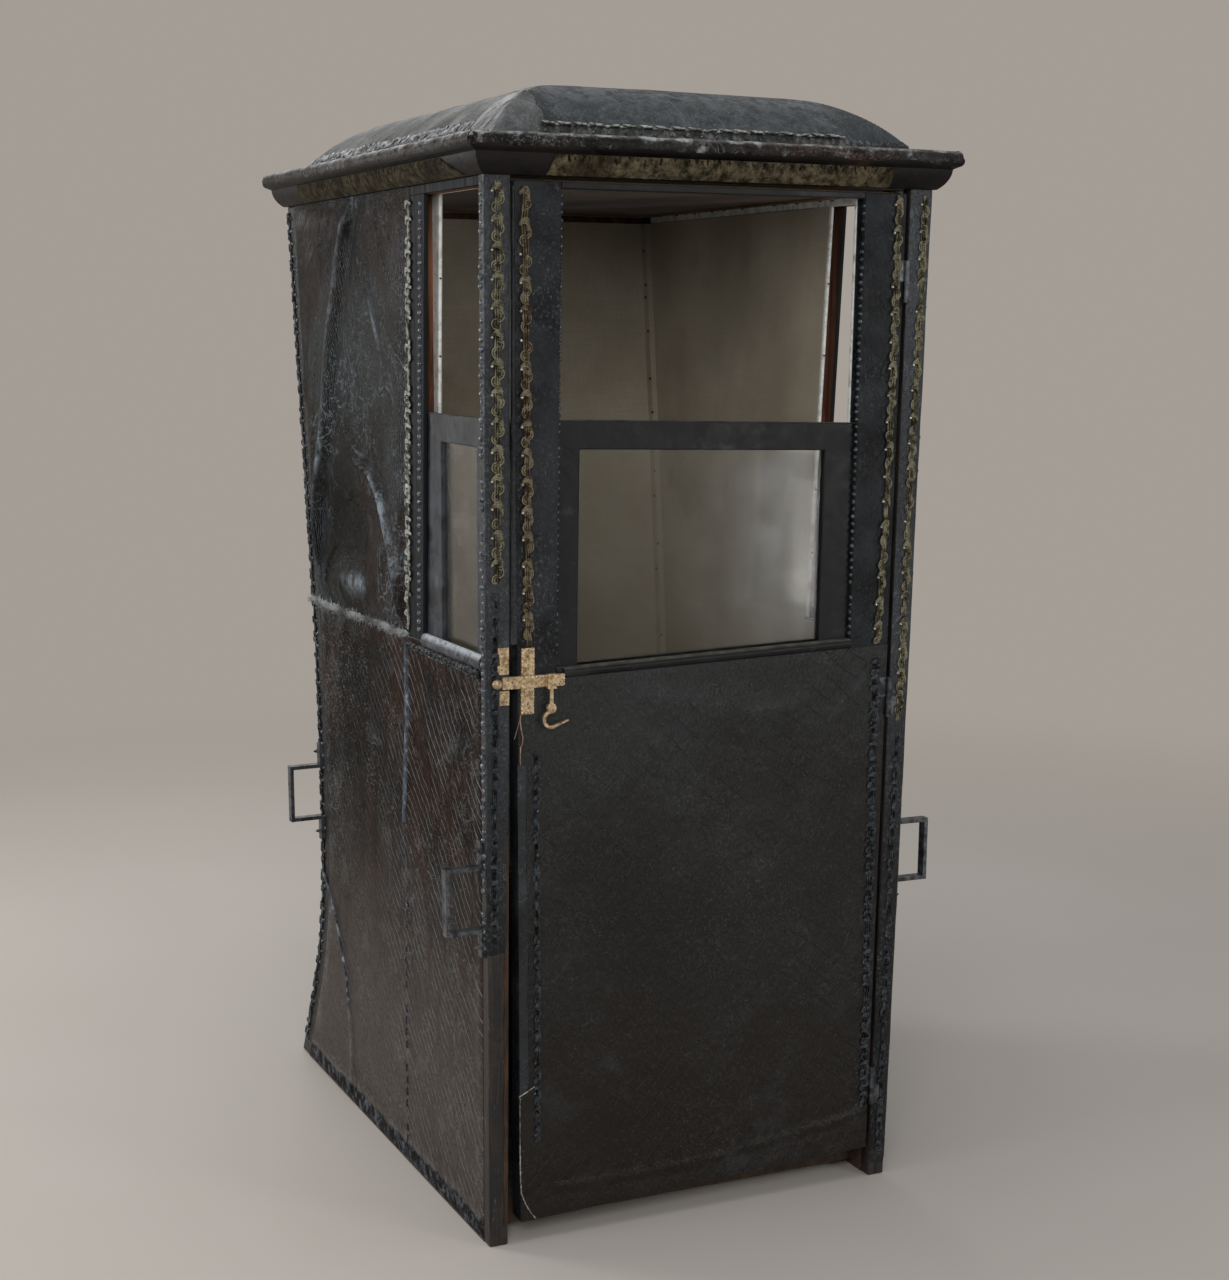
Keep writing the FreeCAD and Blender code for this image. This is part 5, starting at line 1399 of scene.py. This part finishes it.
def bead_flakes(side, start, end, seed):
    """Lumpy old paint and leather over the bead, from the hollow below it round to its top."""
    (x0, y0, z0), (x1, y1, z1) = CORNICE_BOX
    edge = {"f": -y0, "b": y1, "l": -x0, "r": x1}[side]
    radius = 0.0105
    sign = SIGN[side]

    def place(u, v):
        angle = -0.95 + 2.45 * v
        t = lerp(start, end, u)
        out, rise = cos(angle), sin(angle)
        across, z = edge - radius + radius * out, z1 - radius + radius * rise
        if side in "fb":
            return vec(t, sign * across, z), vec(0, sign * out, rise)
        return vec(sign * across, t, z), vec(sign * out, 0, rise)

    def lump(point):
        return noise.noise(point * 38) + 0.6 * noise.noise(point * 95) + 0.4 * noise.noise(point * 230)

    def relief(u, v, point):
        return max(0.0002, 0.0012 + 0.0011 * lump(point)) * smooth(min(v, 1 - v), 0, 0.12) + 0.0002

    def tint(point):
        # The bead's top is paler, most at the front, with dust and painted highlight; its left and right sides are
        # darker.
        near, far = (1.0, 0.2) if side in "fb" else (0.4, 0.45)
        top = smooth(point.z, z1 - 0.006, z1 - 0.001) * near
        return clip(1.1 * lump(point + vec(seed, 0, 0)) + 0.9 * top - far)

    return place, relief, tint


BEAD = leather("cornice_bead", (24, 21, 20), (44, 41, 40), (176, 178, 178), (0.3, 0.5), scuff=0.5,
               ruddy=0.7, shine=0.16, folds=1.0, painted_glint=0.4)
for side, start, end in (("f", -0.374, 0.374), ("b", -0.374, 0.374), ("l", -0.494, 0.474), ("r", -0.494, 0.474)):
    place, relief, tint = bead_flakes(side, start, end, ord(side))
    skin("cornice_bead_" + side, place, int((end - start) / 0.0034), 8, relief, BEAD, "roof", "cornice_paint",
         -0.0006, tint)


# ---- woven tape on the cornice
def cornice_tape(side, low, high):
    """Tape on the hollow of the cornice; its ends, given at its lower and upper edge, may be cut at a slant."""
    sign = SIGN[side]

    def place(u, v):
        z = 1.5016 + 0.0258 * v
        t = lerp(lerp(low[0], high[0], v), lerp(low[1], high[1], v), u)
        if side in "fb":
            return struck(("cornice",), (t, sign, z), (0, -sign, 0))
        return struck(("cornice",), (sign, t, z), (-sign, 0, 0))

    def relief(u, v, point):
        t = point.x + point.y
        sag = 0.0008 * wander(t * 30, v * 2, 1)
        thick = 0.0016 + 0.0008 * sin(pi * v) + 0.0011 * wander(t * 150, v * 9, 2)
        return max(0.0008, thick + sag)

    return place, relief


for side, low, high in (("f", (-0.2616, 0.2665), (-0.2544, 0.2659)), ("b", (-0.26, 0.26), (-0.255, 0.255)),
                        ("l", (-0.4144, 0.312), (-0.3543, 0.312)), ("r", (-0.40, 0.33), (-0.38, 0.33))):
    place, relief = cornice_tape(side, low, high)
    skin("cornice_tape_" + side, place, int((low[1] - low[0]) / 0.003), 9, relief, WEBBING, "roof", "webbing", 0.0006)


# ---- braids
def up_rows(rows, t):
    """The two numbers at a place t along rows that run straight between their second numbers."""
    high = lerp(rows[0][1], rows[-1][1], t)
    return along([(row[1], row[0]) for row in rows], high), high


def front_line(rows, out):
    """A line on the chair's front from (x, s) rows: the point, the way across and the way out."""
    return lambda t: (on_front(*up_rows(rows, t), out), vec(1, 0, 0), FRONT_OUT)


def side_line(sign, rows, out):
    """The same on a side, from (y, z) rows."""
    return lambda t: (on_side(sign, *up_rows(rows, t), out), vec(0, 1, 0), vec(sign, 0, 0))


POST_GILT = [(-0.3283, 1.4925), (-0.3263, 1.2062), (-0.3246, 0.9599)]
DOOR_GILT = [(-0.2901, 1.4873), (-0.2845, 1.2057), (-0.2784, 0.8725)]
DOOR_GILT_RIGHT = [(0.2896, 1.4912), (0.2896, 1.2716), (0.2874, 1.0538), (0.2800, 0.842)]
POST_GILT_RIGHT = [(0.3335, 1.4925), (0.3306, 1.2715), (0.3262, 1.0526), (0.3254, 0.8282), (0.3216, 0.7219)]
BRAIDS = (  # name, rows, width mm, period mm, cord radius mm, ruin, material, body
    ("post_gilt_left", POST_GILT, 17.5, 38, 1.30, 0.25, GILT, "chair"),
    ("door_gilt_left", DOOR_GILT, 15.5, 38, 1.40, 0.45, GILT_BROWN, "door"),
    ("door_gilt_right", DOOR_GILT_RIGHT, 13.5, 38, 1.35, 0.6, GILT, "door"),
    ("post_gilt_right", POST_GILT_RIGHT, 13.5, 38, 1.35, 0.6, GILT, "chair"),
    ("post_black_left", [(-0.3272, 0.945), (-0.3262, 0.60), (-0.3257, 0.452)], 12, 27, 1.0, 0.9, BLACK_GIMP,
     "chair"),
    ("door_black_left", [(-0.2663, 0.722), (-0.2600, 0.384), (-0.2575, 0.150)], 9, 30, 1.1, 0.7, BLACK_GIMP, "door"),
    ("door_black_right", [(0.2790, 0.820), (0.2826, 0.4465), (0.2868, 0.118)], 15, 25, 1.5, 0.5, BLACK_GIMP, "door"),
    ("post_black_right", [(0.3220, 0.705), (0.3180, 0.35), (0.3165, 0.04)], 11, 34, 1.2, 0.7, BLACK_GIMP, "chair"),
)
PEARLS = {"chair": Shape(), "door": Shape()}
for seed, (name, rows, wide, period, thick, ruin, look, body) in enumerate(BRAIDS):
    gimp(name, front_line(rows, 0.0014), abs(rows[0][1] - rows[-1][1]), wide / 1000, period / 1000, look, body,
         "braid", seed, thick / 1000, ruin, 50, PEARLS[body] if look in (GILT, GILT_BROWN) else None,
         sides=4 if look == BLACK_GIMP else 5)
for body, shape in PEARLS.items():
    shape.make("gimp_nails_" + body, PEARL, body, "nails")

for hand, sign in HANDS:
    rows = [(jamb_y(z) + JAMB_WIDE, z) for z in (1.482, 1.2, 0.856)]
    gimp("quarter_gimp_" + hand, side_line(sign, rows, 0.0010), 0.626, 0.020, 0.023, GREY_GIMP, "chair", "braid",
         20 + sign, 0.0016, 1.2, 620, backed=False)
    rows = [(rear_y(z) - 0.010, z) for z in [1.49 - 0.0485 * k for k in range(31)]]
    gimp("rear_gimp_" + hand, side_line(sign, rows, 0.0006), 1.45, 0.014, 0.026, BLACK_GIMP, "chair", "braid",
         30 + sign, 0.0012, 1.0, 160, sides=4, bends=6)


# ---- frayed line at the belt
def cords(shape, out, line, pair, sway, per_metre, layer, sides, turns):
    """Twisted cords along a line, each with its own shift in height and its radius."""
    for shift, thick in pair:
        points = [p + vec(0, 0, shift + sway * wander(p.y * per_metre, shift * 900, layer)) for p in line]
        shape.add(*tube(points, [out] * len(line), thick, sides, 2, turns))


for hand, sign in HANDS:
    out = vec(sign, 0, 0)

    def belt_path(t, sign=sign, out=out):
        y = lerp(0.352, -0.130, t)
        z = BELT + 0.0035 * smooth(0.2 - y, 0, 0.25) + 0.0012 * wander(0, y * 30, sign)
        return on_side(sign, y, z, 0.0022), out

    def dark_path(t, sign=sign, out=out):
        y = -0.128 + (front_y(BELT) + 0.026 + 0.128) * t
        return on_side(sign, y, BELT - 0.0125 - 0.002 * t, 0.0030), out

    belt = Shape()
    cords(belt, out, line_of(belt_path, 260), ((0.0020, 0.0006), (-0.0016, 0.0007)), 0.0060, 75, 0, 6, 800)
    fibres(belt, belt_path, 1500, 0.0130, 40 + sign, 1.1, 0.3, 0.00050)
    belt.make("belt_fray_" + hand, WHITE_FRAY, "chair", "braid")
    dark = Shape()
    cords(dark, out, line_of(dark_path, 160), ((0.0030, 0.0030), (-0.0030, 0.0026)), 0.0024, 90, 1, 7, 700)
    nails(dark, dark_path, 0.0095, 0.0036, 0.0042, 45 + sign, 0.2, 0.0018)
    fibres(dark, dark_path, 420, 0.008, 60 + sign, 0.9, 0.5, 0.0004)
    dark.make("belt_gimp_" + hand, BLACK_GIMP, "chair", "braid")


# ---- rows of nails
def up_side(sign, y_at, low, run, out, aim):
    """A line on a side: from the height low over a run, at y_at(z)."""
    return lambda t: (on_side(sign, y_at(low + run * t), low + run * t, out), aim)


for hand, sign in HANDS:
    out = vec(sign, 0, 0)
    low = 0.445 if sign < 0 else 0.05
    pale = Shape()
    nails(pale, up_side(sign, lambda z: front_y(z) + 0.0105, low, 1.487 - low, 0.0012, vec(sign, -0.15, 0)),
          0.0118, 0.0048, 0.0036, 70 + sign, 0.10, 0.0016)
    nails(pale, up_side(sign, lambda z: jamb_y(z) + 0.0135, 0.862, 0.612, 0.0001, out),
          0.0117, 0.0045, 0.0038, 80 + sign, 0.03)
    pale.make("edge_nails_" + hand, PALE_STUDS, "chair", "nails")
    row = Shape()
    nails(row, up_side(sign, lambda z: rear_y(z) - 0.0200, 0.03, 1.45, 0.0001, out),
          0.021, 0.0038, 0.0026, 90 + sign, 0.2)
    nails(row, up_side(sign, lambda z: along(SEAM, z), 0.49, -0.33, 0.0022, out),
          0.033, 0.0026, 0.0013, 95 + sign, 0.2, 0.0015)
    nails(row, lambda t: (vec(sign * (side_x(0.03 + 1.45 * t) - 0.008), rear_y(0.03 + 1.45 * t) + 0.0014,
                              0.03 + 1.45 * t), vec(0, 1, 0)), 0.0135, 0.0034, 0.0022, 98 + sign, 0.08)
    row.make("nails_" + hand, STUDS, "chair", "nails")

door_row = Shape()
for sign in (-1, 1):
    nails(door_row, lambda t: (on_front(sign * WINDOW_HALF, 0.858 + 0.618 * t, -0.0042), vec(-sign, -0.35, 0)),
          0.0108, 0.0036, 0.0030, 110 + sign, 0.04)
nails(door_row, lambda t: (on_front(-0.2605 + 0.002 * sin(t * 40), 0.16 + 0.54 * t, 0.0016), FRONT_OUT), 0.031,
      0.0026, 0.0016, 115, 0.25)
door_row.make("nails_door", STUDS, "door", "nails")

roof_row = Shape()
for side, low, high, pitch, radius, height, seed, gone in (
        ("l", -0.345, 0.415, PINK, 0.0027, 0.0018, 119, 0.12), ("r", -0.43, 0.415, PINK, 0.0027, 0.0018, 121, 0.12),
        ("f", -0.25, 0.31, PINK * 2, 0.0026, 0.0016, 124, 0.35),
        ("b", -0.31, 0.31, PINK * 2, 0.0026, 0.0016, 126, 0.12)):
    nails(roof_row, lambda t: on_dome(*dome_edge(side, lerp(low, high, t), 0.0045), 0.0048), pitch, radius, height,
          seed, gone)
roof_row.make("nails_roof", STUDS, "roof", "nails")


# ---- the cabin's linen
SEAT_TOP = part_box("seat_board")[1][2]
LINED = 0.0287  # from a side's outer face to its linen


def lining_place(u, v):
    """Round the back of the cabin in plan: along one side, round both corner posts, along the other."""
    z = lerp(SEAT_TOP + 0.001, 1.4862, v)
    back = rear_y(z)
    half = side_x(z)
    near = jamb_y(max(z, BELT)) + 0.004
    t = 1 - abs(2 * u - 1)
    sign = -1 if u < 0.5 else 1
    marks = (0.0, 0.38, 0.40, 0.42, 1.0)
    x = along(list(zip(marks, (half - LINED, half - LINED, half - 0.0392, half - 0.0392, 0.0))), t)
    y = along(list(zip(marks, (near, back - 0.0412, back - 0.0412, back - 0.0232, back - 0.0232))), t)
    if t < 0.38:
        out = vec(-sign, 0, 0)
    else:
        out = vec(-sign, -1, 0).normalized() if t < 0.42 else vec(0, -1, 0)
    return vec(sign * x, y, z), out


def lining_relief(u, v, point):
    return 0.0011 + 0.0008 * max(-0.8, rough(point.x * 5, point.y * 5, point.z * 3))


linen = skin("cabin_lining", lining_place, 100, 30, lining_relief, LINEN, "chair", "lining", -0.0004)

SEAT_ROW, ROW = 28 / 60, 1 / 60  # the row of the side linen that ends on the seat
for hand, sign in HANDS:
    def place(u, v, sign=sign):
        if v < SEAT_ROW + ROW / 2:
            z, far = 0.0585 + (SEAT_TOP + 0.0006 - 0.0585) * v / SEAT_ROW, -0.0445
        else:
            z = SEAT_TOP + 0.0016 + (BELT - 0.0036 - SEAT_TOP) * (v - SEAT_ROW - ROW) / (1 - SEAT_ROW - ROW)
            far = jamb_y(BELT) + 0.003
        near = front_y(z) + 0.0235
        return on_side(sign, near + (far - near) * u, z, -LINED), vec(-sign, 0, 0)
    linen = skin("side_lining_" + hand, place, 40, 60, lining_relief, LINEN, "chair", "lining", -0.0004)

CEILING_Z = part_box("ceiling_board")[0][2]
CEILING_X, CEILING_FRONT, CEILING_BACK = 0.3095, -0.4290, 0.3990
TRIM = 0.019  # width of the ceiling's border


def ceiling_place(u, v):
    return vec(-CEILING_X + 0.619 * u, CEILING_FRONT + 0.828 * v, CEILING_Z), vec(0, 0, -1)


def ceiling_relief(u, v, point):
    return 0.0010 + 0.0022 * sin(pi * u) * sin(pi * v) + 0.0006 * rough(point.x * 5, point.y * 5, 7)


linen = skin("ceiling_linen", ceiling_place, 40, 50, ceiling_relief, SHADED_CEILING_LINEN, "roof", "lining", 0.0002)

tacks = Shape()
border = Shape()
for x0, y0, x1, y1 in (
        (-CEILING_X, CEILING_FRONT, CEILING_X, CEILING_FRONT), (-CEILING_X, CEILING_BACK, CEILING_X, CEILING_BACK),
        (-CEILING_X, CEILING_FRONT, -CEILING_X, CEILING_BACK), (CEILING_X, CEILING_FRONT, CEILING_X, CEILING_BACK)):
    start, end = vec(x0, y0, CEILING_Z), vec(x1, y1, CEILING_Z)
    inward = vec(0, 1 if y0 < 0 else -1, 0) if y0 == y1 else vec(1 if x0 < 0 else -1, 0, 0)
    run = (end - start).normalized()

    def border_place(u, v):
        return lerp(start + run * (TRIM * v), end - run * (TRIM * v), u) + inward * TRIM * v, vec(0, 0, -1)

    border.add(*slab(border_place, 120, 4, lambda u, v, p: 0.0036 + 0.0010 * sin(pi * v) + 0.0005 * rough(
        p.x * 40, p.y * 40, 1, 1.0, 2), -0.0022))
    nails(tacks, lambda t: (lerp(start, end, 0.03 + 0.94 * t) + inward * 0.0095 + vec(0, 0, -0.0042),
                            vec(0, 0, -1)), 0.034, 0.0028, 0.0014, int(1000 * (x0 + y0)), 0.1, 0.002)
border.make("ceiling_border", BORDER, "roof", "lining")
tacks.make("ceiling_tacks", IRON, "roof", "nails")

corner = Shape()
draw = Random(31)
for sign in (-1, 1):
    z = 0.56
    while z < 1.47:
        corner.add(*stud(vec(sign * (side_x(z) - 0.0365 - draw.uniform(0.001, 0.009)), rear_y(z) - 0.0420, z),
                         vec(0, -1, 0), 0.0024, 0.0013))
        z += draw.choice((0.022, 0.045, 0.06, 0.085, 0.12))
    for z in (1.37, 1.26, 1.05, 0.95):
        corner.add(*stud(vec(sign * (side_x(z) - 0.0255), jamb_y(z) + 0.0005, z), vec(0, -1, 0), 0.0020, 0.0009))
corner.make("cabin_tacks", IRON, "chair", "nails")


# ---- pearls and pins of the latch
latch = Shape()
CROSS_LOW, CROSS_HIGH = 0.7785, 0.8665
CROSS_X = (-0.2871, -0.2709)
BAR_S = (0.8164, 0.8286)


def pearl(x, s, out):
    latch.add(*stud(on_front(x, s, out), FRONT_OUT, 0.0019, 0.0021, 7))


for k in range(17):
    s = CROSS_LOW + (CROSS_HIGH - CROSS_LOW) * k / 16
    for x in CROSS_X:
        if not BAR_S[0] - 0.005 < s < BAR_S[1] + 0.005:
            pearl(x, s, 0.0019)
for s in (CROSS_LOW, CROSS_HIGH):
    for k in (1, 2):
        pearl(CROSS_X[0] + (CROSS_X[1] - CROSS_X[0]) * k / 3, s, 0.0019)
for x in [-0.2895 + 0.0052 * k for k in range(13)]:
    if not -0.2520 < x < -0.2405:
        for s in BAR_S:
            pearl(x, s, 0.0069)
for s in (0.8205, 0.8245):
    pearl(-0.2275, s, 0.0069)
latch.make("latch_pearls", PEARL_BRASS, "door", "brass")
for name, body, places in (
        ("latch_pins", "door", ((-0.3040, 0.8228, 0.0069), (-0.2790, 0.8560, 0.0019), (-0.2790, 0.7900, 0.0019))),
        ("keeper_pins", "chair", ((-0.3165, 0.7945, 0.0014), (-0.3100, 0.7948, 0.0014), (-0.3170, 0.8620, 0.0014),
                                  (-0.3170, 0.8400, 0.0014)))):
    pins = Shape()
    for place in places:
        pins.add(*stud(on_front(*place), FRONT_OUT, 0.0013, 0.0005, 7))
    pins.make(name, IRON, body, "iron")

thread = Shape()
hang = [(-0.2895, 0.776, 3), (-0.2905, 0.768, 3.4), (-0.2890, 0.756, 3.8), (-0.2862, 0.744, 3.6), (-0.2868, 0.735, 3.2),
        (-0.2893, 0.730, 3.0), (-0.2893, 0.716, 2.6), (-0.2890, 0.705, 2.4)]
line = [on_front(x, s, out / 1000) for x, s, out in hang]
thread.add(*tube(line, [FRONT_OUT] * len(line), 0.0009, 6, 2, 500))
thread.add(*tube([on_front(-0.2895 - 0.009 * k / 6, 0.772 - 0.030 * k / 6, 0.0025) for k in range(7)],
                 [FRONT_OUT] * 7, 0.0004, 4))
thread.make("gimp_fray_door", PINK_THREAD, "door", "braid")
